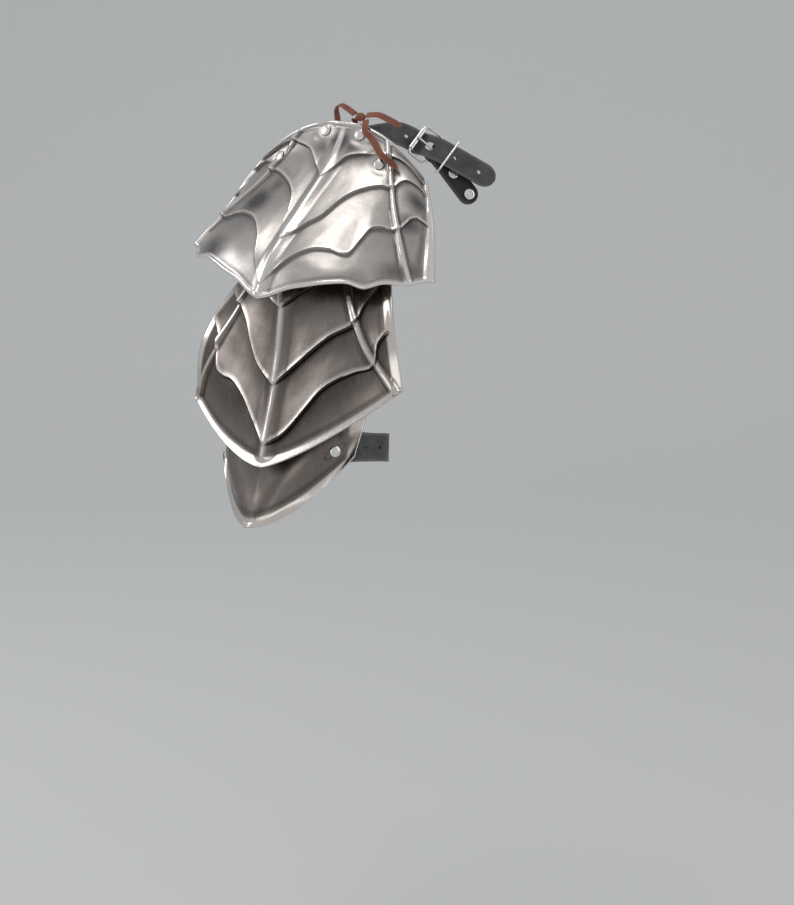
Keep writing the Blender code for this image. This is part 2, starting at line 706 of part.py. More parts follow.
def pierce(strap, places, faces, at, radius=HOLE_RADIUS):
    """Cut round holes through a strap at distances from its first place."""
    run = 0.0
    want = sorted(at)
    for a, b, face in zip(places, places[1:], faces):
        step = (b - a).length
        while want and run + step >= want[0]:
            drill(strap, a.lerp(b, (want[0] - run) / step), face, radius, 0.008, 8)
            want.pop(0)
        run += step


def length(places):
    return sum((b - a).length for a, b in zip(places, places[1:]))


TONGUE_HOLE = -0.0064
strap_long = length(strap_places)
to_tongue = strap_long - STRAP_TIP + TONGUE_HOLE
pierce(
    shoulder_strap, strap_places, strap_faces,
    [to_tongue + HOLE_PITCH * k for k in (-2, -1, 1, 2)],
)
pierce(shoulder_strap, strap_places, strap_faces, [to_tongue], KEEPER_WIRE / 2 + 0.0032)


def buckle(tag, place, run, face, wide, roller, turn):
    """A wire buckle: frame, roller and tongue. Its bar lies across the run, turned about the face."""
    run = Matrix.Rotation(math.radians(-turn), 3, face) @ run
    across = face.cross(run).normalized()
    half = wide / 2
    reach = BUCKLE_REACH
    place = place - across * (reach / 2 * math.tan(math.radians(turn)))
    corner = 0.003

    def at(a, b, c=0.0):
        return place + run * a + across * b + face * c

    corners = []
    bends = (
        (0 - corner, half - corner, 0),
        (-reach + corner, half - corner, 90),
        (-reach + corner, -half + corner, 180),
        (0 - corner, -half + corner, 270),
    )
    for cx, cy, start in bends:
        for k in range(4):
            angle = math.radians(start + 30 * k)
            corners.append(at(cx + corner * math.cos(angle), cy + corner * math.sin(angle)))
    wire(tag + "_buckle_frame", corners, WIRE, bright, closed=True)
    if roller:
        inner = WIRE / 2 + CLEARANCE
        outer = inner + ROLLER_WALL
        long = half - corner - 0.0010
        profile = ((outer, long), (outer, -long), (inner, -long), (inner, long), (outer, long))
        turned(tag + "_buckle_roller", profile, at(-reach, 0), across, bright, 14)
    top = WIRE / 2 + CLEARANCE + (CLEARANCE + ROLLER_WALL if roller else 0) + KEEPER_WIRE / 2
    ring = WIRE / 2 + CLEARANCE + KEEPER_WIRE / 2
    turns = [math.radians(a) for a in (200, 150, 100, 50, 10)]
    tongue = [at(ring * math.sin(a), 0, ring * math.cos(a)) for a in turns]
    tongue += [at(-reach * 0.5, 0, ring + 0.0006), at(-reach - 0.0015, 0, top + CLEARANCE)]
    wire(tag + "_buckle_tongue", tongue, KEEPER_WIRE, bright)
    return run, across, at


CHAPE_LAYER = WIRE / 2 + CLEARANCE + CHAPE_THICK / 2


def chape_places(at, long, sink, drift):
    """The chape's fold: under layer, round the bar, upper layer, as one strip that drifts aside."""
    close = CHAPE_LAYER - CHAPE_THICK * 0.5 - CLEARANCE
    slope = math.tan(math.radians(drift))
    shares = (1.0, 0.86, 0.7, 0.55, 0.4, 0.25, 0.12, 0.04)

    def layer(f, side):
        off = side * (CHAPE_LAYER - close * smooth(f * 3)) - sink * smooth(f * 3)
        return at(long * f, -slope * long * max(0.0, f - 0.12), off)

    under = [layer(f, -1) for f in shares]
    fold = []
    for angle in (0, 45, 90, 135, 180):
        t = math.radians(angle)
        fold.append(at(-CHAPE_LAYER * math.sin(t), 0, -CHAPE_LAYER * math.cos(t)))
    over = [layer(f, 1) for f in reversed(shares)]
    return under + fold + over


def chape(tag, at, run, across, face, long, wide, sink, drift, rivets, material):
    """A doubled strip folded over the bar, with a slot for the tongue, and its rivets."""
    places = chape_places(at, long, sink, drift)
    count = len(places) - 1
    faces = []
    for j in range(len(places)):
        ahead = (places[min(j + 1, count)] - places[max(j - 1, 0)]).normalized()
        faces.append(ahead.cross(across).normalized())
    widths = [wide] * len(places)
    widths[0] = widths[-1] = wide * 0.50
    widths[1] = widths[-2] = wide * 0.92
    strip = ribbon(tag + "_chape", places, faces, widths, CHAPE_THICK, material)
    slot = KEEPER_WIRE + 2 * CLEARANCE + 0.0008
    bm = bmesh.new()
    bmesh.ops.create_cube(bm, size=1.0)
    cutter = new_object(tag + "_slot", bm, None, CUTTERS)
    frame = Matrix((run, across, face)).transposed().to_4x4()
    size = Matrix.Diagonal((CHAPE_LAYER * 2 + 0.010, slot, 0.012, 1.0))
    cutter.matrix_world = Matrix.Translation(at(-CHAPE_LAYER - 0.0001 + 0.0030, 0)) @ frame @ size
    cutter.hide_render = True
    cutter.display_type = "WIRE"
    cut = strip.modifiers.new("slot", "BOOLEAN")
    cut.operation = "DIFFERENCE"
    cut.solver = "EXACT"
    cut.object = cutter
    for k, f in enumerate(rivets):
        top = CHAPE_THICK + CLEARANCE - sink
        place = at(long * f, -math.tan(math.radians(drift)) * long * max(0.0, f - 0.12), top)
        drill(strip, place, face, SHANK_HOLE, 0.016)
        name = "%s_chape_rivet_%d" % (tag, k + 1)
        rivet(name, place, face, 2 * CHAPE_THICK + 3 * CLEARANCE, bright, RIVET_HEAD, 0.0012)
    return strip


run, across, at = buckle("shoulder", BUCKLE_AT, STRAP_RUN, STRAP_FACE, BUCKLE_SPAN, True, BUCKLE_TURN)
chape(
    "shoulder", at, run, across, STRAP_FACE, CHAPE_LONG, CHAPE_WIDE, 0.0006, CHAPE_DRIFT,
    (0.46, 0.86), black_leather,
)
KEEP_AT = 0.013
KEEP_HALF = 0.0165
KEEP_SHIFT = 0.003
KEEP_TOP = OVER_BAR + STRAP_THICK / 2 + 0.0014 + CLEARANCE + KEEPER_WIRE / 2
KEEP_LOW = -(CHAPE_LAYER + CHAPE_THICK / 2 + 2 * CLEARANCE + KEEPER_WIRE / 2)
KEEP_CORNER = 0.0022
left = KEEP_SHIFT - KEEP_HALF
right = KEEP_SHIFT + KEEP_HALF
keeper = [
    at(KEEP_AT, right - KEEP_CORNER, KEEP_TOP),
    at(KEEP_AT, left + KEEP_CORNER, KEEP_TOP),
    at(KEEP_AT, left, KEEP_TOP - KEEP_CORNER),
    at(KEEP_AT, left, KEEP_LOW + KEEP_CORNER),
    at(KEEP_AT, left + KEEP_CORNER, KEEP_LOW),
    at(KEEP_AT, right - KEEP_CORNER, KEEP_LOW),
    at(KEEP_AT, right, KEEP_LOW + KEEP_CORNER),
    at(KEEP_AT, right, KEEP_TOP - KEEP_CORNER),
]
wire("strap_keeper", keeper, KEEPER_WIRE, bright, closed=True)

# The arm strap: from the back rivet round the inner side of the arm to the front, where a short
# strap from the front rivet lies under it and a stud joins them
ARM_UNDER = STEEL + CLEARANCE + STRAP_THICK / 2 + SEAT + 0.0010


def arm_loop(angle, off=0.0):
    """A place on the loop round the arm, from 0 at the back to 180 at the front."""
    t = math.radians(angle)
    down = ARM_DOWN_BACK + (ARM_DOWN_FRONT - ARM_DOWN_BACK) * angle / 180
    x = ARM_LOOP_AT[0] + (ARM_LOOP_HALF + off) * math.cos(t)
    y = ARM_LOOP_AT[1] + (ARM_LOOP_DEEP + off) * math.sin(t)
    return Vector((x, y, -down - ARM_DROOP * math.sin(t)))


def arm_look(angle):
    t = math.radians(angle)
    return Vector((math.cos(t) / ARM_LOOP_HALF, math.sin(t) / ARM_LOOP_DEEP, 0)).normalized()


back_s, back_v = ARM_RIVETS["arm_rivet_back"]
front_s, front_v = ARM_RIVETS["arm_rivet_front"]
ARM_DOWN_BACK = -low.base(back_s, back_v).z
ARM_DOWN_FRONT = -low.base(front_s, front_v).z
LAID_OVER = STRAP_THICK + CLEARANCE
back_seat = [
    (back_s - 0.16, back_v - 0.03, 0.0014),
    (back_s - 0.08, back_v - 0.01, 0.0004),
    (back_s, back_v, 0.0),
]
back_seat += [(back_s + 0.07, back_v + 0.04, 0.0006), (0.985, back_v + 0.12, 0.0016)]
arm_route = [low.inside(s, v, ARM_UNDER + d) for s, v, d in back_seat]
arm_looks = [low.normal(s, back_v) for s, v, d in back_seat]
arm_ends = 180.0 - 20.0
under_ends = arm_ends - ARM_OVERLAP
around = [(12, 0.0), (35, 0.0), (60, 0.0), (88, 0.0), (under_ends - 16, 0.0)]
around += [(under_ends - 6, LAID_OVER * 0.9), (under_ends + 2, LAID_OVER * 1.1)]
around += [(under_ends + ARM_OVERLAP / 2, LAID_OVER * 1.1), (arm_ends, LAID_OVER * 1.1)]
for angle, off in around:
    arm_route.append(arm_loop(angle, off))
    arm_looks.append(arm_look(angle))
ARM_COUNT = 30
arm_places, arm_faces = path(arm_route, arm_looks, ARM_COUNT)
arm_strap = ribbon(
    "arm_strap", arm_places, arm_faces, tipped(ARM_COUNT, ARM_WIDE, (0.96, 0.62, 0.16)),
    STRAP_THICK, grey_leather,
)
front_seat = [(front_s + 0.15, front_v, 0.0006), (front_s + 0.07, front_v, 0.0002), (front_s, front_v, 0.0)]
front_seat += [(front_s - 0.07, front_v + 0.04, 0.0006), (-0.985, front_v + 0.12, 0.0016)]
short_route = [low.inside(s, v, ARM_UNDER + d) for s, v, d in front_seat]
short_looks = [low.normal(s, front_v) for s, v, d in front_seat]
for angle in (168, arm_ends, (arm_ends + under_ends) / 2, under_ends):
    short_route.append(arm_loop(angle))
    short_looks.append(arm_look(angle))
short_places, short_faces = path(short_route, short_looks, 20)
arm_short = ribbon(
    "arm_strap_end", short_places, short_faces, [ARM_WIDE] * 20, STRAP_THICK, grey_leather,
)
join("arm_rivet_back", low, back_s, back_v, (lower_lame, arm_strap), STACK + 0.0014)
join("arm_rivet_front", low, front_s, front_v, (lower_lame, arm_short), STACK + 0.0014)
STUD_ANGLE = (arm_ends + under_ends) / 2
stud_at = arm_loop(STUD_ANGLE, LAID_OVER + STRAP_THICK / 2)
stud_axis = arm_look(STUD_ANGLE)
for piece in (arm_strap, arm_short):
    drill(piece, stud_at, stud_axis, SHANK_HOLE, 0.016)
rivet("arm_clasp_stud", stud_at, stud_axis, 2 * STRAP_THICK + 3 * CLEARANCE, bright)
arm_long = length(arm_places)
pierce(arm_strap, arm_places, arm_faces, [0.050, 0.050 + HOLE_PITCH * 0.6, 0.050 + HOLE_PITCH * 1.2])

# The lace: a loop round the shoulder strap, a knot on the rim and two pointed tails
KNOT_AT = Vector((0.0165, -0.0005, 0.0042))
KNOT_HALF = Vector((0.0056, 0.0040, 0.0040))
bm = bmesh.new()
bmesh.ops.create_uvsphere(bm, u_segments=8, v_segments=6, radius=1.0)
for vert in bm.verts:
    pinch = 1.0 - 0.22 * math.cos(vert.co.x * 5.0) ** 2 * (1 - abs(vert.co.x))
    x, y, z = vert.co
    vert.co = Vector((x * KNOT_HALF.x, y * KNOT_HALF.y * pinch, z * KNOT_HALF.z * pinch))
knot = new_object("lace_knot", bm, lace_leather)
knot.location = KNOT_AT
NEAR = CLEARANCE + LACE_THICK / 2
GAP_MID = (STEEL + UNDER + 1.2 * LACE_SLACK - STRAP_THICK / 2) / 2
BACK_OF_STRAP = UNDER + 1.2 * LACE_SLACK + STRAP_THICK / 2 + NEAR + CLEARANCE
left_end = KNOT_AT - Vector((KNOT_HALF.x + CLEARANCE * 2, 0, 0))
right_end = KNOT_AT + Vector((KNOT_HALF.x + CLEARANCE * 2, 0, 0))
loop_route = [
    left_end + Vector((0, 0, 0.0022)),
    Vector((0.001, 0.002, 0.0105)),
    Vector((-0.009, 0.004, 0.0140)),
    Vector((-0.0160, 0.007, 0.0100)),
    Vector((-0.0165, 0.009, 0.0010)),
    cap.inside(-0.14, 0.06, BACK_OF_STRAP),
    cap.inside(-0.09, 0.12, BACK_OF_STRAP),
    cap.inside(-0.04, 0.158, BACK_OF_STRAP * 0.75),
    cap.inside(0.0, 0.145, GAP_MID),
    cap.inside(0.03, 0.10, GAP_MID),
    cap.inside(0.05, 0.05, GAP_MID),
    cap.inside(0.08, 0.0, GAP_MID) + Vector((0, 0, 0.0005)),
    left_end - Vector((0.0004, 0, 0.0018)),
]
inner_way = cap.normal(0, 0.1) * -1
loop_looks = [
    Vector((-0.5, -0.2, 0.85)), Vector((-0.5, -0.2, 0.85)), Vector((-0.25, -0.2, 0.95)),
    Vector((-0.9, -0.1, 0.4)), Vector((-0.9, 0.4, 0.0)), inner_way + Vector((-0.3, 0, 0)),
    inner_way, Vector((-0.3, 0.1, -0.95)), -inner_way,
    -inner_way, -inner_way, -inner_way, Vector((0.45, -0.5, -0.7)),
]
loop_places, loop_faces = path(loop_route, loop_looks, 28)
ribbon("lace_loop", loop_places, loop_faces, [LACE_WIDE] * 28, LACE_THICK, lace_leather)
tail_route = [
    right_end + Vector((0, 0.0004, 0.0016)),
    Vector((0.034, 0.0018, 0.0064)),
    Vector((0.046, 0.003, 0.0020)),
    Vector((0.0575, 0.004, -0.003)),
]
tail_looks = [Vector((0, -0.6, 0.8))] * 4
tail_places, tail_faces = path(tail_route, tail_looks, 12)
ribbon(
    "lace_tail_upper", tail_places, tail_faces, tipped(12, LACE_WIDE, (0.9, 0.65, 0.2)),
    LACE_THICK, lace_leather,
)
DRAPE = (
    (0.28, 0.04, 0.0044), (0.34, 0.055, 0.0050), (0.42, 0.09, 0.0054), (0.47, 0.125, 0.0058),
    (0.54, 0.14, 0.0072), (0.60, 0.15, 0.0070), (0.66, 0.158, 0.0054),
)
drape_route = [right_end + Vector((0.0004, -0.0014, -0.0024))]
drape_route += [cap.base(s, v) + cap.normal(s, v) * h for s, v, h in DRAPE]
drape_looks = [Vector((0, -0.8, 0.6))] + [cap.normal(s, v) for s, v, h in DRAPE]
drape_places, drape_faces = path(drape_route, drape_looks, 20)
ribbon(
    "lace_tail_lower", drape_places, drape_faces, tipped(20, LACE_WIDE, (0.92, 0.65, 0.2)),
    LACE_THICK, lace_leather,
)
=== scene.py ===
# %% [markdown]
# # A steel pauldron on its leathers
# This file dresses a left shoulder defence: a ridged cap of steel, two pointed lames that hang under
# it on leathers, a buckled shoulder strap, an arm strap and a tied leather lace. The solids come from
# the CAD model, and each piece here is laid on the same named sizes, so that nothing has to be fitted
# by eye. Lengths are in metres. -Y points away from the neck, +X to the wearer's back and +Z up.

# %% Load the solids
import math

import bmesh
import bpy
from mathutils import Matrix, Vector
from mathutils import noise as lumps


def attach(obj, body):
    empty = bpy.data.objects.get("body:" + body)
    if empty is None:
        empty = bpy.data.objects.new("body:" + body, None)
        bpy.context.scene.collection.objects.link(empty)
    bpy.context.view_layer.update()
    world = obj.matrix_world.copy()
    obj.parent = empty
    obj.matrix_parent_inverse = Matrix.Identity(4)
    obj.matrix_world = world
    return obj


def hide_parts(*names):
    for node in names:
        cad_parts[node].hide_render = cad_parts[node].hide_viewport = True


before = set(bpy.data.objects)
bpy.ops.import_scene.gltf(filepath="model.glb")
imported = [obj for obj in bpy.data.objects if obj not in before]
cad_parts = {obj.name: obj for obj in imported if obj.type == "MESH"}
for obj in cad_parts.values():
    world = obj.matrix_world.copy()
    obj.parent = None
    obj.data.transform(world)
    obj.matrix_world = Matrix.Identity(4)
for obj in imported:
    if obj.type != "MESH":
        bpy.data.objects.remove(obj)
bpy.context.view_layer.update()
print("solids:", len(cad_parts), "nodes")

# %% [markdown]
# ## The camera
# The picture looks at the wearer's left shoulder from behind the arm, a little from above, with a
# long lens that keeps the plates nearly parallel. A long lens could also be an orthographic camera,
# but a real one keeps the slight growth of what is near.

# %% Camera
CAMERA_TURN = 35.37
CAMERA_DIP = 13.65
lens = bpy.data.cameras.new("camera")
lens.lens = 70.0
lens.sensor_width = 36.0
lens.clip_end = 30.0
camera = bpy.data.objects.new("camera", lens)
camera.location = (0.9616, -1.2761, 0.0833)
camera.rotation_euler = (math.radians(90 - CAMERA_DIP), 0.0, math.radians(CAMERA_TURN))
bpy.context.scene.collection.objects.link(camera)
bpy.context.scene.camera = camera

# %% [markdown]
# ## Sizes of the steel
# Armour like this is cut from sheet about 1.6 mm thick. Each plate is a formed surface that is named
# by a share s across it, from -1 at the front edge over 0 on the ridge to 1 at the back edge, and a
# share v down it. The tables are the same as those of the solids.

# %% Sizes of the steel
STEEL = 0.0016
CLEARANCE = 0.0004
CAP_REACH = 0.116
CAP_DROP = 0.147
CAP_HALF = 0.139
CAP_SIDE_OUT = 0.048
CAP_SIDE_DROP = 0.130
CAP_LEAN = 4.0
LAME_LEAN = -8.0
MID_REACH = CAP_REACH + 0.037
MID_DROP = CAP_DROP + 0.139
MID_HALF = CAP_HALF - 0.023
MID_SIDE_OUT = 0.097
MID_SIDE_RISE = 0.055
LOW_REACH = MID_REACH - 0.003
LOW_DROP = MID_DROP + 0.057
LOW_HALF = MID_HALF - 0.041
LOW_SIDE_OUT = 0.088
LOW_SIDE_RISE = 0.053
LOW_SHIFT = -0.022
PIVOT = -0.82 * CAP_DROP
STEP_HIGH = 0.0030
STEP_RUN = 0.0022
RIDGE_HIGH = 0.0045
RIDGE_WIDE = 0.011
RIB_HIGH = 0.0030
RIB_WIDE = 0.0070
RIM_HIGH = 0.0024
RIM_WIDE = 0.0060
RIVET_HEAD = 0.0050

# %% Sizes that only the picture needs; a dark patch, partly patina and partly painted reflection of dark surroundings, is its share s, its share v, its size and its strength
LAME_RIM_WIDE = 0.0090
SHARP_CREASE = 0.015
CREASE_SOFT = 0.15
DENT = 0.00045
PATINA_AND_REFLECTION_PATCHES = (
    (0.02, 0.12, 0.025, 1.0), (0.15, 0.15, 0.018, 0.8), (-0.16, 0.17, 0.018, 0.6),
    (-0.50, 0.47, 0.026, 1.0), (-0.42, 0.38, 0.020, 0.7), (-0.58, 0.80, 0.032, 1.0),
    (0.86, 0.28, 0.024, 1.0), (0.83, 0.44, 0.020, 0.9), (0.87, 0.78, 0.030, 0.85),
    (0.50, 0.72, 0.020, 0.4), (0.60, 0.86, 0.028, 0.55), (0.22, 0.86, 0.018, 0.35),
)

# %% Section rows: out, down, half, side_out, side_down, bow, sag
CAP_ROWS = (
    (0.00, 0.00, 0.66, 0.00, 0.34, 1.8, 2.2),
    (0.16, 0.25, 0.76, 0.21, 0.51, 1.9, 2.4),
    (0.52, 0.52, 0.84, 0.42, 0.69, 2.4, 2.4),
    (0.83, 0.76, 0.92, 0.71, 0.85, 3.0, 1.8),
    (1.00, 1.00, 1.00, 1.00, 1.00, 3.0, 1.3),
)
MID_ROWS = (
    (0.58, 0.41, 0.59, 0.25, 0.43, 2.0, 2.0),
    (0.74, 0.70, 0.91, 0.87, 0.75, 2.0, 1.8),
    (1.00, 1.00, 1.00, 1.00, 1.00, 1.4, 1.4),
)
LOW_ROWS = (
    (0.71, 0.73, 0.75, 0.44, 0.79, 2.3, 1.7),
    (0.84, 0.87, 0.99, 0.73, 0.89, 2.6, 1.1),
    (1.00, 1.00, 1.00, 1.00, 1.00, 1.3, 1.9),
)

# %% Ribs: a share of v, then the share s where the rib runs
CAP_RIB = ((0.0, 0.52), (0.25, 0.61), (0.5, 0.77), (0.75, 0.87), (1.0, 0.91))
MID_RIB = ((0.0, 0.66), (0.25, 0.67), (0.5, 0.75), (0.75, 0.87), (1.0, 0.96))
LOW_RIB = ((0.0, 0.66), (1.0, 0.66))

# %% Step arches: from the ridge (0) over the rib (0.66) to the side (1), then v; back half, front half
RIB_U = 0.66
SIDE_U = 0.34
CAP_ARCHES = (
    (
        (
            (0.0, 0.33), (0.06, 0.275), (0.14, 0.21), (0.28, 0.175),
            (0.46, 0.145), (0.66, 0.10), (0.80, 0.07), (1.0, 0.06),
        ),
        (
            (0.0, 0.33), (0.14, 0.27), (0.33, 0.175), (0.52, 0.125), (0.70, 0.08), (1.0, 0.06),
        ),
    ),
    (
        (
            (0.0, 0.66), (0.10, 0.56), (0.18, 0.50), (0.25, 0.42), (0.36, 0.356), (0.55, 0.30),
            (0.66, 0.285), (0.745, 0.215), (0.81, 0.18), (0.89, 0.163), (1.0, 0.17),
        ),
        (
            (0.0, 0.66), (0.05, 0.60), (0.08, 0.52), (0.12, 0.46), (0.20, 0.405), (0.34, 0.355),
            (0.56, 0.30), (0.66, 0.285), (0.745, 0.215), (0.81, 0.18), (0.89, 0.163), (1.0, 0.17),
        ),
    ),
    (
        (
            (0.0, 0.92), (0.07, 0.80), (0.135, 0.73), (0.22, 0.68), (0.32, 0.67), (0.42, 0.68),
            (0.46, 0.60), (0.50, 0.53), (0.56, 0.505), (0.66, 0.50), (0.75, 0.444),
            (0.81, 0.406), (0.88, 0.388), (1.0, 0.43),
        ),
        (
            (0.0, 0.92), (0.09, 0.79), (0.165, 0.67), (0.29, 0.58), (0.42, 0.556), (0.51, 0.56),
            (0.66, 0.60), (0.75, 0.50), (0.81, 0.42), (0.88, 0.40), (1.0, 0.43),
        ),
    ),
)
MID_ARCHES = (
    (
        ((0.0, 0.23), (0.25, 0.165), (0.66, 0.13), (1.0, 0.12)),
        ((0.0, 0.23), (0.25, 0.165), (0.66, 0.13), (1.0, 0.12)),
    ),
    (
        (
            (0.0, 0.62), (0.13, 0.55), (0.30, 0.481), (0.46, 0.438), (0.66, 0.42), (0.78, 0.34),
            (1.0, 0.24),
        ),
        (
            (0.0, 0.62), (0.17, 0.531), (0.30, 0.425), (0.42, 0.33), (0.60, 0.27), (0.78, 0.26),
            (1.0, 0.24),
        ),
    ),
    (
        (
            (0.0, 0.90), (0.12, 0.86), (0.22, 0.788), (0.33, 0.713), (0.44, 0.688),
            (0.55, 0.694), (0.66, 0.72), (0.80, 0.60), (1.0, 0.54),
        ),
        (
            (0.0, 0.90), (0.12, 0.794), (0.24, 0.70), (0.37, 0.644), (0.54, 0.64),
            (0.60, 0.58), (0.70, 0.47), (1.0, 0.40),
        ),
    ),
)
CAP_HEM = (
    (0.0, 1.0), (0.05, 0.985), (0.15, 0.93), (0.25, 0.90), (0.35, 0.875), (0.44, 0.87),
    (0.51, 0.91), (0.58, 0.875), (0.66, 0.90), (0.81, 0.88), (1.0, 0.88),
)
PLAIN_HEM = ((0.0, 1.0), (1.0, 1.0))

# %% [markdown]
# ## Curves through short tables
# A smith draws a few points and springs a batten through them. The curve here does the same: it
# passes through every pair of a table and has no corners. A NURBS curve could do it as well, but it
# would miss the points that it is given.

# %% Curves
def curve(points, at):
    """The height at a place along a short table of pairs, on a smooth curve through them."""
    if at <= points[0][0]:
        return points[0][1]
    if at >= points[-1][0]:
        return points[-1][1]
    last = len(points) - 1
    k = max(i for i in range(last) if points[i][0] <= at)

    def slope(i):
        a = max(i - 1, 0)
        b = min(i + 1, last)
        return (points[b][1] - points[a][1]) / (points[b][0] - points[a][0])

    x0, y0 = points[k]
    x1, y1 = points[k + 1]
    step = x1 - x0
    t = (at - x0) / step
    start = y0 * (1 + 2 * t) * (1 - t) ** 2 + slope(k) * step * t * (1 - t) ** 2
    return start + y1 * t * t * (3 - 2 * t) - slope(k + 1) * step * t * t * (1 - t)


def smooth(t):
    """An S-curve from 0 to 1."""
    t = min(max(t, 0.0), 1.0)
    return t * t * (3 - 2 * t)


def hump(t):
    """A soft bump that is 1 at 0 and falls to 0 at 1 on either side."""
    return 1 - smooth(abs(t))


def path(points, looks, count):
    """Evenly shared places on a smooth curve through 3-D points, and the way each of them looks."""
    run = [0.0]
    for a, b in zip(points, points[1:]):
        run.append(run[-1] + (b - a).length)

    def read(values):
        tables = [[(t, value[axis]) for t, value in zip(run, values)] for axis in range(3)]
        places = []
        for i in range(count):
            at = run[-1] * i / (count - 1)
            places.append(Vector([curve(table, at) for table in tables]))
        return places

    return read(points), [way.normalized() for way in read(looks)]


def length(places):
    return sum((b - a).length for a, b in zip(places, places[1:]))

# %% [markdown]
# ## Shader sums
# Polished steel shows its use: bright where a hand or cloth rubs, brown and dull in the hollows. The
# same masks here also carry painted highlights and painted shade. Such masks are sums and products of
# noise and of values kept on the mesh. Wrapping a socket in a small class lets them be written as plain
# sums, which reads better than pages of node links.

# %% Shader sums
class Value:
    """A number that changes over a surface."""

    def __init__(self, finish, socket):
        self.finish = finish
        self.socket = socket

    def sum(self, operation, first, second, clamp=False):
        settings = {"operation": operation, "use_clamp": clamp}
        return self.finish.node("ShaderNodeMath", settings, {0: first, 1: second})

    def __add__(self, other):
        return self.sum("ADD", self, other)

    def __radd__(self, other):
        return self.sum("ADD", other, self)

    def __sub__(self, other):
        return self.sum("SUBTRACT", self, other)

    def __mul__(self, other):
        return self.sum("MULTIPLY", self, other)

    def held(self):
        """The same number, held between 0 and 1."""
        return self.sum("ADD", self, 0.0, clamp=True)


class Finish:
    """A surface finish: one Principled shader and the nodes that feed it."""

    def __init__(self, name, **fixed):
        self.material = bpy.data.materials.new(name)
        self.material.use_nodes = True
        self.tree = self.material.node_tree
        self.shader = self.tree.nodes["Principled BSDF"]
        self.set(**fixed)

    def set(self, **values):
        """Put numbers, colours or links on the shader's own sockets."""
        for name, value in values.items():
            self.join(self.shader.inputs[name.replace("_", " ").title().replace("Ior", "IOR")], value)

    def join(self, socket, value):
        if isinstance(value, Value):
            self.tree.links.new(value.socket, socket)
        elif hasattr(value, "__len__") and len(value) == 3 and socket.type == "RGBA":
            socket.default_value = (*value, 1.0)
        else:
            socket.default_value = value

    def node(self, kind, settings, sockets, out=0):
        """Any node, from its type, its settings and what its sockets hold."""
        made = self.tree.nodes.new(kind)
        for name, value in settings.items():
            setattr(made, name, value)
        for name, value in sockets.items():
            self.join(made.inputs[name], value)
        return Value(self, made.outputs[out])

    def kept(self, name):
        """A number kept on the mesh under a name."""
        return self.node("ShaderNodeAttribute", {"attribute_name": name}, {}, out=2)

    def place(self, kept_name=None, stretch=(1, 1, 1)):
        """Object places, or a place kept on the mesh, stretched."""
        if kept_name:
            where = self.node("ShaderNodeAttribute", {"attribute_name": kept_name}, {}, out=1)
        else:
            where = self.node("ShaderNodeTexCoord", {}, {}, out=3)
        return self.node("ShaderNodeMapping", {}, {"Vector": where, "Scale": stretch})

    def noise(self, where, scale, detail=4.0, rough=0.55):
        sockets = {"Vector": where, "Scale": scale, "Detail": detail, "Roughness": rough}
        return self.node("ShaderNodeTexNoise", {}, sockets)

    def mix(self, mask, first, second):
        return self.node("ShaderNodeMix", {"data_type": "RGBA"}, {0: mask, 6: first, 7: second}, out=2)

    def ramp(self, value, low, high):
        """0 below low, 1 above high, and smooth between them."""
        sockets = {"Value": value, "From Min": low, "From Max": high, "To Min": 0.0, "To Max": 1.0}
        return self.node("ShaderNodeMapRange", {"interpolation_type": "SMOOTHSTEP"}, sockets)

    def bumped(self, height, deep, strength):
        """A normal from a height between 0 and 1 and how deep it is in metres."""
        sockets = {"Height": height, "Distance": deep, "Strength": strength}
        self.set(Normal=self.node("ShaderNodeBump", {}, sockets))

# %% [markdown]
# ## Steel finishes
# The cap is polished warm grey. Its ridges, steps and rims are rubbed bright and carry painted highlights,
# and the hollows beside them keep a brown and grey patina with painted shade; dark blotches are partly
# patina and partly painted reflection of dark surroundings. The lames are the same steel left darker.
# Three values kept on the mesh say where it is rubbed bright with painted highlights, where it holds
# patina with painted shade and where the painted shadow under a step is nearly black, and a place that
# follows the plate lays fine brush lines on it.

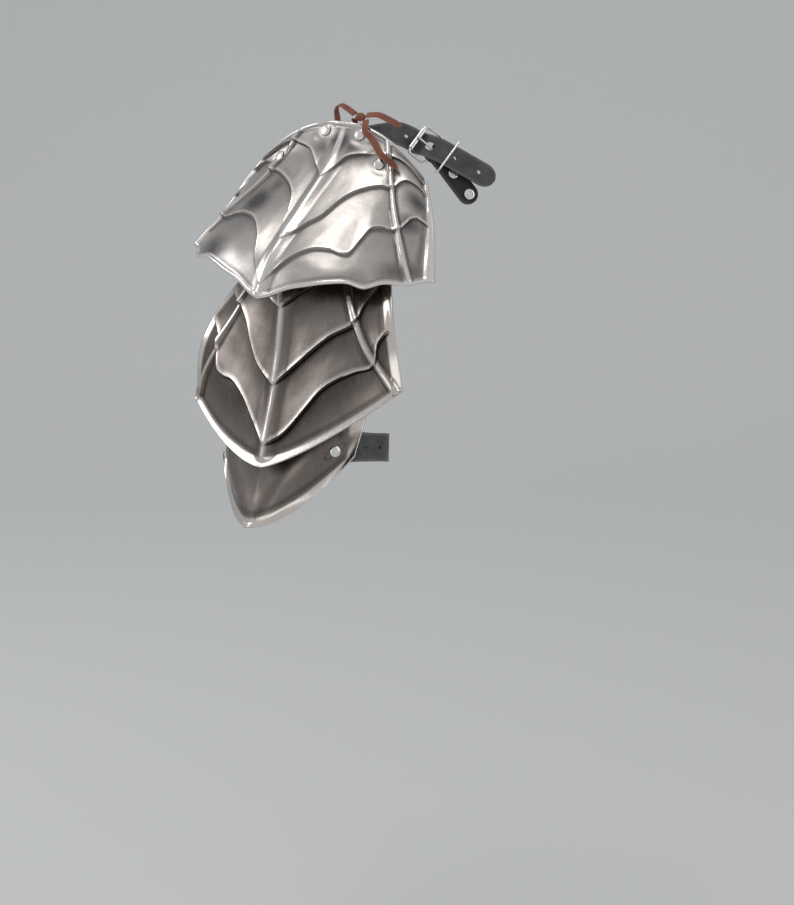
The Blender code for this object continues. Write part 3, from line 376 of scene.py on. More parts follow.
# %% Steel finishes
def steel_finish(name, bright, plain, stain_and_shade, blotch_strength, rough):
    f = Finish(name, Metallic=1.0)
    flow = f.place("flow")
    brushed = f.noise(f.place("flow", (1.0, 0.06, 1.0)), 900.0, 3.0, 0.6)
    across = f.noise(f.place("flow", (0.10, 1.0, 1.0)), 520.0, 2.0, 0.6)
    clouds = f.noise(f.place(), 16.0, 5.0, 0.6)
    wide_clouds = f.noise(f.place(), 6.5, 3.0, 0.5)
    specks = f.noise(f.place(), 260.0, 4.0, 0.7)
    rubbed_and_highlight = f.kept("rubbed_and_highlight")
    patina_and_shade = f.kept("patina_and_shade")
    # Cloudy dark blotches: partly patina, partly painted reflection of dark surroundings.
    shade = (f.ramp(wide_clouds, 0.40, 0.70) * 0.55 + f.ramp(clouds, 0.40, 0.74) * 0.45) * blotch_strength
    # Patina, specks and painted shade darken the plain tone; worn polish with painted highlights lightens
    # it.
    grime_and_shade = (shade + patina_and_shade * 0.90 - rubbed_and_highlight * 0.9 + (specks - 0.5) * 0.30).held()
    tone = f.mix(grime_and_shade, plain, stain_and_shade)
    # Worn polish and painted highlights mix towards the bright tone.
    shine = (rubbed_and_highlight * 1.1 + (brushed - 0.5) * 0.30).held()
    tone = f.mix(shine, tone, bright)
    pits = f.ramp(specks, 0.66, 0.74) * 0.35
    tone = f.mix(pits, tone, stain_and_shade)
    # Painted shadow: a thin line just under each step, mixed to nearly black.
    step_shadow = f.kept("step_shadow")
    tone = f.mix(step_shadow, tone, (stain_and_shade[0] * 0.22, stain_and_shade[1] * 0.21, stain_and_shade[2] * 0.20))
    gloss = rough + grime_and_shade * 0.14 - shine * 0.08 + step_shadow * 0.4
    gloss = gloss + (across - 0.5) * 0.10 + (brushed - 0.5) * 0.12
    f.set(Base_Color=tone, Roughness=gloss.held())
    height = brushed * 0.5 + across * 0.25 + clouds * 0.9 + f.noise(flow, 130.0, 2.0) * 0.5
    f.bumped(height, 0.00022, 0.55)
    return f.material


# Tones: bright for worn polish and painted highlights, plain, and dark for patina, painted shade and
# painted shadow.
cap_steel = steel_finish(
    "polished_steel", (0.86, 0.83, 0.80), (0.60, 0.562, 0.530), (0.105, 0.100, 0.104), 0.38, 0.29,
)
lame_steel = steel_finish(
    "darkened_steel", (0.74, 0.69, 0.65), (0.255, 0.224, 0.203), (0.070, 0.058, 0.050), 0.55, 0.28,
)
print("steel finishes made")

# %% [markdown]
# ## Nickel, leather and lace finishes
# The buckle, rivets and keeper are plated bright, with duller patches. The straps are waxed dark grey
# leather with a fine pebble grain, rubbed paler at the edges. The lace is red brown leather, softer
# and rougher.

# %% Nickel and leather finishes
def nickel_finish():
    f = Finish("bright_nickel", Metallic=1.0)
    marks = f.noise(f.place(), 700.0, 4.0, 0.65)
    cloud = f.noise(f.place(), 120.0, 3.0)
    dull = f.ramp(cloud, 0.52, 0.74)
    f.set(
        Base_Color=f.mix(dull * 0.6, (0.86, 0.85, 0.83), (0.52, 0.50, 0.47)),
        Roughness=(0.20 + dull * 0.18 + (marks - 0.5) * 0.16).held(),
    )
    f.bumped(marks, 0.00004, 0.6)
    return f.material


def leather_finish(name, deep, plain, rubbed_tone, rough, pebble, crease):
    f = Finish(name, Specular_IOR_Level=0.42)
    sockets = {"Vector": f.place(), "Scale": pebble, "Smoothness": 0.6}
    grain = f.node("ShaderNodeTexVoronoi", {"feature": "SMOOTH_F1"}, sockets)
    fine = f.noise(f.place(), pebble * 1.6, 5.0, 0.65)
    cloud = f.noise(f.place(), 60.0, 4.0, 0.6)
    folds = f.noise(f.place("flow", (0.35, 1.0, 1.0)), crease, 3.0, 0.6)
    edge = f.kept("edge")
    tone = f.mix(f.ramp(cloud, 0.30, 0.72), deep, plain)
    worn = (f.ramp(edge, 0.72, 1.0) * (0.35 + fine * 0.5) + f.ramp(fine, 0.60, 0.78) * 0.35).held()
    tone = f.mix(worn, tone, rubbed_tone)
    f.set(Base_Color=tone, Roughness=(rough + (fine - 0.5) * 0.30 - worn * 0.08).held())
    f.bumped(grain * 0.45 + fine * 0.35 + folds * 0.9, 0.00030, 0.7)
    return f.material


nickel = nickel_finish()
grey_leather = leather_finish(
    "grey_waxed_leather", (0.054, 0.054, 0.055), (0.105, 0.105, 0.107), (0.20, 0.20, 0.20),
    0.48, 900.0, 210.0,
)
black_leather = leather_finish(
    "black_leather", (0.010, 0.010, 0.011), (0.026, 0.026, 0.028), (0.085, 0.083, 0.08),
    0.46, 900.0, 240.0,
)
hanger_leather = leather_finish(
    "brown_inner_leather", (0.030, 0.019, 0.013), (0.070, 0.045, 0.030), (0.14, 0.10, 0.075),
    0.62, 700.0, 160.0,
)
lace_leather = leather_finish(
    "orange_brown_lace", (0.165, 0.050, 0.026), (0.290, 0.098, 0.054), (0.42, 0.18, 0.11),
    0.58, 1500.0, 600.0,
)
print("leather and nickel finishes made")

# %% [markdown]
# ## A formed plate
# On a real plate the ridge, ribs and steps are beaten up from behind, so the wall keeps its thickness
# and the same relief shows inside. A fine grid is laid on the formed surface, each point is pushed out
# by the relief and by shallow hammer dents, and a Solidify modifier gives the wall. Sculpting could do
# it too, but rows and columns that follow the steps keep them crisp.

# %% Plate
class Plate:
    """One formed plate: its sizes, its section rows, and where its rib, arches and hem run."""

    def __init__(self, rows, sizes, lean, pivot, shift, rib, arches, hem, top_rim, ribbed):
        last = len(rows) - 1
        self.tables = [[(i / last, row[c]) for i, row in enumerate(rows)] for c in range(7)]
        self.sizes = sizes
        self.lean = math.radians(lean)
        self.pivot = pivot
        self.shift = shift
        self.rib = rib
        self.arches = arches
        self.hem = hem
        self.top_rim = top_rim
        self.ribbed = ribbed
        self.pads = []
        self.patina_and_reflection_patches = ()
        self.half = sizes[2]
        self.long = (self.base(0, 1) - self.base(0, 0)).length * 1.04

    def base(self, s, v):
        """A point of the surface before its relief."""
        out, down, half, side_out, side_down, bow, sag = [curve(t, v) for t in self.tables]
        out *= self.sizes[0]
        down *= self.sizes[1]
        half *= self.sizes[2]
        side_out *= self.sizes[3]
        side_down *= self.sizes[4]
        a = abs(s)
        fading = 0.0 if self.ribbed else 1 - smooth((v - 0.6) / 0.35)
        soft = max(CREASE_SOFT * fading, SHARP_CREASE)
        round_a = (math.sqrt(a * a + soft * soft) - soft) / (math.sqrt(1 + soft * soft) - soft)
        x = half * s
        y = -(out + (side_out - out) * round_a ** bow)
        z = -(down + (side_down - down) * a ** sag) - self.pivot
        c = math.cos(self.lean)
        n = math.sin(self.lean)
        return Vector((self.shift + x * c + z * n, y, self.pivot - x * n + z * c))

    def normal(self, s, v):
        """The outward direction of the surface before its relief."""
        step = 0.01
        across = self.base(s + step, v) - self.base(s - step, v)
        low_v = max(v - step, 0.0)
        high_v = min(v + step, 1.0)
        down = self.base(s, high_v) - self.base(s, low_v)
        return down.cross(across).normalized()

    def wide_at(self, v):
        """About how wide half the plate is at a share v."""
        return self.half * (0.7 + 0.3 * v)

    def share(self, u, v):
        """The share s of a place u of the way from the ridge over the rib to the side."""
        a = abs(u)
        rib = curve(self.rib, v)
        s = rib * a / RIB_U if a <= RIB_U else rib + (1 - rib) * (a - RIB_U) / SIDE_U
        return math.copysign(s, u)

    def column_s(self, u, mm, v):
        """The share s of a column: clear of the rib's foot and of the side rim, then moved by mm."""
        width = self.wide_at(v)
        a = abs(u)
        if a in (0.0, RIB_U, 1.0):
            return self.share(u, v) + mm / width
        rib = curve(self.rib, v)
        foot = RIB_WIDE / 2 / width
        if a < RIB_U:
            return math.copysign((rib - foot) * a / RIB_U, u)
        outer_end = 1 - RIM_WIDE / width
        return math.copysign(rib + foot + (outer_end - rib - foot) * (a - RIB_U) / SIDE_U, u)

    def column_u(self, s, v):
        """The place u of a share s."""
        a = min(abs(s), 1.0)
        rib = curve(self.rib, v)
        u = RIB_U * a / rib if a <= rib else RIB_U + SIDE_U * (a - rib) / (1 - rib)
        return math.copysign(u, s)

    def line(self, k, u):
        """The v of the top edge, of each arch and of the hem, counted from the top."""
        if k == 0:
            return 0.0
        if k > len(self.arches):
            return curve(self.hem, abs(u))
        back, front = self.arches[k - 1]
        return curve(back if u >= 0 else front, abs(u))

    def row_v(self, u, k, f, past):
        """The v of a row: a share f of the way past line k, starting a distance past it."""
        last = len(self.arches) + 1
        if past < 0:
            return self.line(last, u) + past / self.long
        start = self.line(k, u) + past / self.long
        if f == 0:
            return start
        end = self.line(k + 1, u)
        if k + 1 == last:
            end -= RIM_WIDE / self.long
        return start + (end - start) * f

    def relief(self, u, v):
        """How far the metal is raised at a place; its worn polish with painted highlights, its patina with
        painted shade, and the painted shadow under a step.
        """
        s = self.share(u, v)
        width = self.wide_at(v)
        lines = [self.line(k, u) for k in range(len(self.arches) + 2)]
        high = 0.0
        rubbed_and_highlight = 0.0
        patina_and_shade = 0.0
        step_shadow = 0.0
        shade = 0.25 if self.top_rim else 0.75
        deep = 1.0 if self.top_rim else 1.25
        for k in range(len(lines) - 1):
            if not lines[k] - 1e-9 <= v <= lines[k + 1] + 1e-9:
                continue
            band = max(lines[k + 1] - lines[k], 1e-6)
            f = (v - lines[k]) / band
            left = (lines[k + 1] - v) * self.long
            # Painted shade: each band is darker at its top, under the step above it.
            patina_and_shade = shade * (1 - smooth(f * 1.2)) * smooth(band / 0.08)
            if k + 1 < len(lines) - 1:
                high = max(high, STEP_HIGH * deep * f ** 1.6) if f < 0.999 else high
                # Worn polish and a painted highlight just above each step's lip.
                lip = 0.0040 if self.top_rim else 0.0065
                rubbed_and_highlight = max(rubbed_and_highlight, 0.85 * hump(left / lip) * smooth(f * 2))
            if k > 0:
                past = (v - lines[k]) * self.long
                high += STEP_HIGH * deep * (1 - smooth(past / STEP_RUN))
                # A painted highlight on the edge of each step, with worn polish.
                rubbed_and_highlight = max(rubbed_and_highlight, 0.6 * hump(past / 0.0005))
                # Below each step: painted shadow, and patina with painted shade farther down.
                dark = 0.6 if self.top_rim else 1.0
                near_step = dark * hump((past - 0.0022) / 0.0022)
                patina_and_shade = max(patina_and_shade, near_step, 0.4 * hump((past - 0.003) / 0.012))
                # Painted shadow: a thin nearly black line just below the step.
                step_shadow = hump((past - 0.0013 * deep) / (0.0010 * deep)) * (0.35 if self.top_rim else 1.0)
            break
        softly = 0.35 + 0.65 * smooth(abs(s) * width / RIDGE_WIDE)
        high *= softly
        patina_and_shade *= softly
        step_shadow *= smooth(abs(s) * width / 0.004)
        wide = RIDGE_WIDE * (1.5 - 0.7 * smooth(v / 0.4)) if self.top_rim else RIDGE_WIDE
        ridge = RIDGE_HIGH * (smooth(v / 0.35) if self.top_rim else 1.0)
        crest = 1.0
        if not self.ribbed:
            wide = RIDGE_WIDE * 2.2
            ridge = RIDGE_HIGH * 0.5
            crest = 0.0
        off = abs(s) * width
        blunt = 0.0020 if self.ribbed else 0.0080
        rounded = math.sqrt(off * off + blunt * blunt) - blunt * 0.7
        high += ridge * max(0.0, 1 - rounded / wide) ** 1.4
        shine = RIDGE_WIDE * (0.40 + 0.45 * smooth((v - 0.2) / 0.6) if self.top_rim else 0.42)
        # The ridge crest is worn bright and carries a painted highlight.
        rubbed_and_highlight = max(rubbed_and_highlight, crest * hump(off / shine) * smooth(v / 0.2 + 0.2))
        # Beside the ridge: patina and painted shade.
        dark = 0.2 if self.top_rim else 0.5
        patina_and_shade = max(patina_and_shade, dark * crest * hump((off - wide * 1.15) / 0.008) * smooth(v / 0.3))
        if self.ribbed:
            thin = RIB_WIDE * (1 - 0.35 * v) if self.top_rim else RIB_WIDE
            off = abs(abs(s) - curve(self.rib, v)) * width / (thin / 2)
            if off < 1:
                high += RIB_HIGH * math.sqrt(1 - off * off)
            # The rib crest is worn bright with a painted highlight; beside its foot lie patina and painted
            # shade.
            rubbed_and_highlight = max(rubbed_and_highlight, 0.95 * hump(off / 0.75))
            patina_and_shade = max(patina_and_shade, 0.75 * hump((off - 1.30) / 0.80))
            step_shadow *= smooth((off - 0.8) / 0.4)
        side = (1 - abs(s)) * width * (1.0 if self.top_rim else 1.4)
        hem = (lines[-1] - v) * self.long
        near = min(side, hem, v * self.long) if self.top_rim else min(side, hem)
        lift = 0.35 + 0.75 * smooth((side - hem) / 0.008 + 0.5)
        if not self.ribbed:
            lift *= 1 - 0.8 * smooth((s - 0.35) / 0.4)
        broad = RIM_WIDE if self.top_rim else LAME_RIM_WIDE
        if near < broad:
            t = (near - broad / 2) / (broad / 2)
            bead = RIM_HIGH * math.sqrt(max(0.0, 1 - t * t))
            flare = RIM_HIGH * lift * (1 - near / broad) ** 1.5
            high = max(high * smooth(near / broad), bead if self.top_rim else flare)
        # The rims are worn bright with a broad painted highlight; inside them lie patina and painted shade.
        rubbed_and_highlight = max(rubbed_and_highlight, 1.0 - smooth((near - broad * 0.72) / 0.0030))
        patina_and_shade = max(patina_and_shade, 0.6 * hump((near - broad * 1.5) / 0.0045))
        step_shadow *= smooth((near - broad * 0.4) / 0.003)
        # Dark patches: partly patina, partly painted reflection of dark surroundings.
        for patch_s, patch_v, size, strength in self.patina_and_reflection_patches:
            away = math.hypot((s - patch_s) * width, (v - patch_v) * self.long)
            patina_and_shade = max(patina_and_shade, strength * hump(away / size))
        for pad_s, pad_v in self.pads:
            away = math.hypot((s - pad_s) * width, (v - pad_v) * self.long)
            flat = smooth((away - RIVET_HEAD * 1.3) / 0.009)
            high *= flat
            rubbed_and_highlight *= flat
            step_shadow *= flat
            patina_and_shade = max(patina_and_shade * flat, 0.5 * hump((away - RIVET_HEAD * 1.02) / 0.0012))
        calm = smooth((1 - abs(s)) * 7) * smooth(v * 9) * smooth(near / 0.014)
        spot = Vector((s * self.half, v * self.long, self.half))
        high += calm * (DENT * lumps.noise(spot * 34) + DENT * 0.4 * lumps.noise(spot * 80))
        return high, rubbed_and_highlight, patina_and_shade * (1 - 0.8 * rubbed_and_highlight), step_shadow

    def inside(self, s, v, depth):
        """A point a depth below the outer face before its relief."""
        return self.base(s, v) - self.normal(s, v) * depth

    def build(self, name, finish, columns, rows):
        """The plate as a fine grid of columns and rows, thickened inwards."""
        bm = bmesh.new()
        wide = len(columns) - 1
        tall = len(rows) - 1
        bmesh.ops.create_grid(bm, x_segments=wide, y_segments=tall, size=0.5)
        # Kept values: worn polish with painted highlights, patina with painted shade, and the painted
        # shadow under steps.
        rubbed_and_highlight_kept = bm.verts.layers.float.new("rubbed_and_highlight")
        patina_and_shade_kept = bm.verts.layers.float.new("patina_and_shade")
        step_shadow_kept = bm.verts.layers.float.new("step_shadow")
        flow_kept = bm.verts.layers.float_vector.new("flow")
        for vert in bm.verts:
            i = round((vert.co.x + 0.5) * wide)
            j = round((vert.co.y + 0.5) * tall)
            u = columns[i][0]
            for _ in range(3):
                v = self.row_v(u, *rows[j])
                s = self.column_s(*columns[i], v)
                u = self.column_u(s, v)
            high, rubbed_and_highlight, patina_and_shade, step_shadow = self.relief(u, v)
            vert.co = self.base(s, v) + self.normal(s, v) * high
            vert[rubbed_and_highlight_kept] = rubbed_and_highlight
            vert[patina_and_shade_kept] = patina_and_shade
            vert[step_shadow_kept] = step_shadow
            vert[flow_kept] = (s * self.half, v * self.long, 0.0)
        bm.normal_update()
        facing = sum(1 if f.normal.dot(Vector((0, -1, 0.2))) > 0 else -1 for f in bm.faces)
        if facing < 0:
            bmesh.ops.reverse_faces(bm, faces=bm.faces[:])
        obj = finished(name, bm, finish, 60)
        wall = obj.modifiers.new("wall", "SOLIDIFY")
        wall.thickness = STEEL
        wall.offset = -1.0
        wall.use_quality_normals = True
        return obj


def finished(name, bm, finish, sharp=40):
    """A mesh object made from a bmesh, at the origin, shaded smooth except at sharp edges."""
    mesh = bpy.data.meshes.new(name)
    bm.to_mesh(mesh)
    bm.free()
    obj = bpy.data.objects.new(name, mesh)
    bpy.context.scene.collection.objects.link(obj)
    mesh.materials.append(finish)
    mesh.shade_smooth()
    mesh.set_sharp_from_angle(angle=math.radians(sharp))
    return obj


def stand_for(obj, *nodes):
    """The piece rides with the object and replaces these solids."""
    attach(obj, "root")
    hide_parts(*nodes)
    return obj

# %% The three plates
cap = Plate(
    CAP_ROWS, (CAP_REACH, CAP_DROP, CAP_HALF, CAP_SIDE_OUT, CAP_SIDE_DROP), CAP_LEAN, 0.0, 0.0,
    CAP_RIB, CAP_ARCHES, CAP_HEM, True, True,
)
mid = Plate(
    MID_ROWS, (MID_REACH, MID_DROP, MID_HALF, MID_SIDE_OUT, MID_DROP - MID_SIDE_RISE), LAME_LEAN,
    PIVOT, 0.0, MID_RIB, MID_ARCHES, PLAIN_HEM, False, True,
)
low = Plate(
    LOW_ROWS, (LOW_REACH, LOW_DROP, LOW_HALF, LOW_SIDE_OUT, LOW_DROP - LOW_SIDE_RISE), LAME_LEAN + 1,
    PIVOT, LOW_SHIFT, LOW_RIB, (), PLAIN_HEM, False, False,
)
RIM_RIVETS = {"rim_rivet_front": (-0.20, 0.062), "rim_rivet_back": (0.20, 0.062)}
HANGER_RIVETS = {"front": (-0.66, 0.17), "back": (0.46, 0.185)}
MID_HANG = {"front": (-0.62, 0.07), "back": (0.50, 0.07)}
LOW_HANG = {"front": (-0.60, 0.14), "back": (0.58, 0.14)}
ARM_RIVETS = {"arm_rivet_front": (-0.78, 0.74), "arm_rivet_back": (0.82, 0.74)}
cap.pads = list(RIM_RIVETS.values()) + list(HANGER_RIVETS.values())
cap.patina_and_reflection_patches = PATINA_AND_REFLECTION_PATCHES
mid.pads = list(MID_HANG.values())
low.pads = list(LOW_HANG.values()) + list(ARM_RIVETS.values())

# %% Rows and columns that follow the relief
def spread(low_end, high_end, count):
    return [low_end + (high_end - low_end) * i / (count - 1) for i in range(count)]


def columns_of(near, far, across_rib, across_rim):
    """Columns for both sides of the ridge: fine on the crest, the rib and the rim."""
    crest = [(0.0, mm) for mm in (0.0, 0.0010, 0.0022, 0.0036)]
    half = crest + [(u, 0.0) for u in spread(0.05, 0.645, near)]
    half += [(RIB_U, RIB_WIDE * f) for f in spread(-0.5, 0.5, across_rib)]
    half += [(u, 0.0) for u in spread(0.675, 0.985, far)]
    half += [(1.0, -RIM_WIDE * f) for f in spread(1.0, 0.0, across_rim)]
    return [(-u, -mm) for u, mm in reversed(half) if u != 0 or mm != 0] + half


def rows_of(bands, top_rim, steps, between):
    """Rows for each band between two steps: close together on the step and even after it."""
    rows = [(0, 0, RIM_WIDE * f) for f in spread(0.0, 1.0, 9)] if top_rim else [(0, 0, 0)]
    start = RIM_WIDE if top_rim else 0.0
    rows += [(0, f, start) for f in spread(0.06, 0.99, between[0])]
    for k in range(1, bands):
        rows += [(k, 0, STEP_RUN * f) for f in spread(0.0, 1.3, steps)]
        end = 0.985 if k < bands - 1 else 0.94
        rows += [(k, f, STEP_RUN * 1.3) for f in spread(0.06, end, between[k])]
    rows += [(0, 0, -RIM_WIDE * f) for f in spread(1.0, 0.04, 10)] + [(0, 0, -1e-7)]
    return rows

# %% Shoulder cap
cap_columns = columns_of(58, 26, 11, 10)
cap_rows = rows_of(4, True, 10, (18, 24, 24, 20))
shoulder_cap = stand_for(cap.build("shoulder_cap_steel", cap_steel, cap_columns, cap_rows), "shoulder_cap")
print("cap:", len(shoulder_cap.data.polygons), "faces")

# %% Middle lame
mid_columns = columns_of(54, 24, 11, 10)
mid_rows = rows_of(4, False, 10, (12, 26, 22, 16))
middle_lame = stand_for(mid.build("middle_lame_steel", lame_steel, mid_columns, mid_rows), "middle_lame")
print("middle lame:", len(middle_lame.data.polygons), "faces")

# %% Lower lame
low_columns = columns_of(34, 16, 3, 10)
low_rows = rows_of(1, False, 2, (40,))
lower_lame = stand_for(low.build("lower_lame_steel", lame_steel, low_columns, low_rows), "lower_lame")
print("lower lame:", len(lower_lame.data.polygons), "faces")

# %% [markdown]
# ## Straps
# A leather strap is a band cut from a hide about 2 mm thick, with edges that are pared and rubbed
# round. A flat curve with a profile would be quick, but a ribbon of rows lets the width taper to a
# point, keeps how far each point is along and across for the grain, and takes punched holes.

# %% Ribbons, holes and rivets
STRAP_WIDE = 0.021
STRAP_THICK = 0.0022
ARM_WIDE = 0.025
HANGER_WIDE = 0.020
HANGER_THICK = 0.0022
HANGER_BOW = 0.0009
SEAT = 0.0005
HOLE_RADIUS = 0.0018
HOLE_PITCH = 0.025
RIVET_DOME = 0.0015
FLAT_DOME = 0.0010
RIVET_SHANK = 0.0016
RIVET_WASHER = 0.0036
SHANK_HOLE = RIVET_SHANK + CLEARANCE
PUNCH_DEEP = 0.016


def along(axis):
    """A rotation that turns +Z to an axis."""
    return axis.normalized().to_track_quat("Z", "Y").to_matrix().to_4x4()


def ribbon_mesh(bm, places, faces, widths, bow=0.0, across_count=8):
    """A band of rows along places, which keeps its flow and how near each point is to an edge."""
    count = len(places) - 1
    edge_kept = bm.verts.layers.float.get("edge") or bm.verts.layers.float.new("edge")
    flow_kept = bm.verts.layers.float_vector.get("flow") or bm.verts.layers.float_vector.new("flow")
    grid = bmesh.ops.create_grid(bm, x_segments=across_count, y_segments=count, size=0.5)
    run = [0.0]
    for a, b in zip(places, places[1:]):
        run.append(run[-1] + (b - a).length)
    for vert in grid["verts"]:
        side = vert.co.x * 2
        j = round((vert.co.y + 0.5) * count)
        ahead = places[min(j + 1, count)] - places[max(j - 1, 0)]
        across = ahead.cross(faces[j]).normalized()
        vert.co = places[j] + across * (side * widths[j] / 2) - faces[j] * (bow * abs(side))
        vert[edge_kept] = abs(side)
        vert[flow_kept] = (run[j], side * widths[j] / 2, 0.0)


def round_tip(count, wide, tip_long, step):
    """Widths along a strap whose far end is cut to a rounded point."""
    widths = []
    for i in range(count):
        left = (count - 1 - i) * step
        t = min(left / tip_long, 1.0)
        widths.append(wide * max(math.sqrt(1 - (1 - t) ** 2.2), 0.05))
    return widths


def strap(name, places, faces, widths, thick, finish, bow=0.0, round_edge=0.0005):
    """A band of leather with a wall and worn, rounded edges."""
    bm = bmesh.new()
    ribbon_mesh(bm, places, faces, widths, bow)
    bm.normal_update()
    obj = finished(name, bm, finish, 50)
    wall = obj.modifiers.new("leather", "SOLIDIFY")
    wall.thickness = thick
    wall.offset = 0.0
    soften = obj.modifiers.new("rubbed edges", "BEVEL")
    soften.width = round_edge
    soften.segments = 2
    soften.limit_method = "ANGLE"
    soften.angle_limit = math.radians(50)
    return obj


def punch(target, place, axis, radius, deep=PUNCH_DEEP):
    """Cut a round hole through a strap before its edges are rounded."""
    bm = bmesh.new()
    bmesh.ops.create_cone(bm, cap_ends=True, segments=20, radius1=radius, radius2=radius, depth=deep)
    bmesh.ops.transform(bm, matrix=Matrix.Translation(place) @ along(axis), verts=bm.verts[:])
    cut_out(target, bm)


def cut_out(target, bm):
    """Take a closed shape out of a piece, and apply the cut."""
    cutter = finished("cutter", bm, target.data.materials[0])
    cut = target.modifiers.new("hole", "BOOLEAN")
    cut.operation = "DIFFERENCE"
    cut.solver = "EXACT"
    cut.object = cutter
    soften = target.modifiers.get("rubbed edges")
    if soften:
        target.modifiers.move(len(target.modifiers) - 1, len(target.modifiers) - 2)
    bpy.context.view_layer.objects.active = target
    with bpy.context.temp_override(object=target, active_object=target):
        for modifier in [m.name for m in target.modifiers if m.type in ("SOLIDIFY", "BOOLEAN")]:
            bpy.ops.object.modifier_apply(modifier=modifier)
    bpy.data.objects.remove(cutter, do_unlink=True)


def turned(name, profile, place, axis, finish, steps=32, sharp=35):
    """A turned piece: a profile of radius and height, from the top down, spun about an axis."""
    bm = bmesh.new()
    verts = [bm.verts.new((r, 0, z)) for r, z in profile]
    edges = [bm.edges.new(pair) for pair in zip(verts, verts[1:])]
    bmesh.ops.spin(
        bm, geom=verts + edges, cent=(0, 0, 0), axis=(0, 0, 1), angle=math.tau, steps=steps, use_merge=True,
    )
    bmesh.ops.remove_doubles(bm, verts=bm.verts[:], dist=0.00001)
    bmesh.ops.recalc_face_normals(bm, faces=bm.faces[:])
    bmesh.ops.transform(bm, matrix=Matrix.Translation(place) @ along(axis), verts=bm.verts[:])
    return finished(name, bm, finish, sharp)


def rivet(name, place, axis, deep, head=RIVET_HEAD, dome=RIVET_DOME, ringed=False):
    """A domed rivet whose washer lies a depth below its head."""
    foot = CLEARANCE * 1.4
    profile = [(0.0, foot + dome)]
    for degrees in range(10, 91, 10):
        t = math.radians(degrees)
        profile.append((head * math.sin(t), foot + dome * 0.12 + dome * 0.88 * math.cos(t)))
    if ringed:
        profile = [
            (0.0, foot + dome * 0.90), (head * 0.34, foot + dome * 0.86),
            (head * 0.44, foot + dome * 0.52), (head * 0.52, foot + dome * 0.50),
            (head * 0.62, foot + dome * 0.95), (head * 0.76, foot + dome),
            (head * 0.92, foot + dome * 0.80), (head * 0.99, foot + dome * 0.42),
        ]
    bottom = -deep - 0.0010
    profile += [(head, foot), (RIVET_SHANK, foot), (RIVET_SHANK, -deep), (RIVET_WASHER * 0.96, -deep)]
    profile += [(RIVET_WASHER, -deep - 0.0002), (RIVET_WASHER * 0.94, bottom), (0.0, bottom)]
    return stand_for(turned(name + "_nickel", profile, place, axis, nickel), name)


def join(name, plate, s, v, leathers, stack):
    """A rivet through a plate and the leather behind it."""
    place = plate.base(s, v)
    axis = plate.normal(s, v)
    for leather in leathers:
        punch(leather, place, axis, SHANK_HOLE)
    return rivet(name, place, axis, stack, dome=FLAT_DOME if plate is cap else RIVET_DOME)

# %% Hanging leathers
BEHIND = STEEL + CLEARANCE + HANGER_THICK / 2
STACK = STEEL + HANGER_THICK + 2 * CLEARANCE + SEAT + 0.0004
HANGER_COUNT = 79
for side, (cap_s, cap_v) in HANGER_RIVETS.items():
    mid_s, mid_v = MID_HANG[side]
    low_s, low_v = LOW_HANG[side]
    route = [
        cap.inside(cap_s, cap_v - 0.06, BEHIND + 0.0006),
        cap.inside(cap_s, cap_v, BEHIND + SEAT),
        cap.inside(cap_s, cap_v + 0.06, BEHIND + 0.0012),
        (cap.inside(cap_s, cap_v + 0.06, BEHIND + 0.004) + mid.inside(mid_s, 0.0, BEHIND + 0.004)) / 2,
        mid.inside(mid_s, 0.0, BEHIND + 0.0020),
        mid.inside(mid_s, mid_v, BEHIND + SEAT + 0.0006),
        mid.inside(mid_s, mid_v + 0.10, BEHIND + 0.0022),
        mid.inside(mid_s * 0.9, 0.36, BEHIND + 0.006),
        low.inside(low_s, 0.0, BEHIND + 0.0060) + Vector((0, 0, 0.012)),
        low.inside(low_s, low_v - 0.09, BEHIND + 0.0040),
        low.inside(low_s, low_v, BEHIND + SEAT + 0.0010),
        low.inside(low_s, low_v + 0.12, BEHIND + 0.0028),
    ]
    looks = [cap.normal(cap_s, cap_v)] * 3 + [cap.normal(cap_s, 0.4)]
    looks += [mid.normal(mid_s, mid_v)] * 3 + [mid.normal(mid_s, 0.5)]
    looks += [low.normal(low_s, low_v)] * 4
    places, faces = path(route, looks, HANGER_COUNT)
    hanger = strap(
        "hanging_leather_%s_hide" % side, places, faces, [HANGER_WIDE] * HANGER_COUNT, HANGER_THICK,
        hanger_leather, HANGER_BOW,
    )
    join("hanger_rivet_" + side, cap, *HANGER_RIVETS[side], (shoulder_cap, hanger), STACK)
    join("middle_rivet_" + side, mid, *MID_HANG[side], (middle_lame, hanger), STACK + 0.0006)
    join("lower_rivet_" + side, low, *LOW_HANG[side], (lower_lame, hanger), STACK + 0.0010)
    stand_for(hanger, "hanging_leather_" + side)
print("hanging leathers and their rivets made")

# %% Shoulder strap
WIRE = 0.0030
KEEPER_WIRE = 0.0020
ROLLER_WALL = 0.0007
BUCKLE_REACH = 0.018
BUCKLE_SPAN = 0.030
CHAPE_WIDE = 0.018
CHAPE_THICK = 0.0018
CHAPE_LONG = 0.056
BUCKLE_TURN = 9.0
CHAPE_DRIFT = 16.0
LACE_WIDE = 0.0058
LACE_THICK = 0.0014
BUCKLE_AT = Vector((0.069, 0.039, -0.025))
STRAP_RUN = Vector((0.68, 0.55, -0.49)).normalized()
STRAP_FACE = Vector((0.70, -0.59, 0.285))
STRAP_FACE = (STRAP_FACE - STRAP_RUN * STRAP_FACE.dot(STRAP_RUN)).normalized()
STRAP_TIP = 0.060
UNDER = STEEL + CLEARANCE + STRAP_THICK / 2
OVER_BAR = WIRE / 2 + 2 * CLEARANCE + CHAPE_THICK + STRAP_THICK / 2 + CLEARANCE
UNDER_ROLLER = WIRE / 2 + 3 * CLEARANCE + ROLLER_WALL + STRAP_THICK / 2
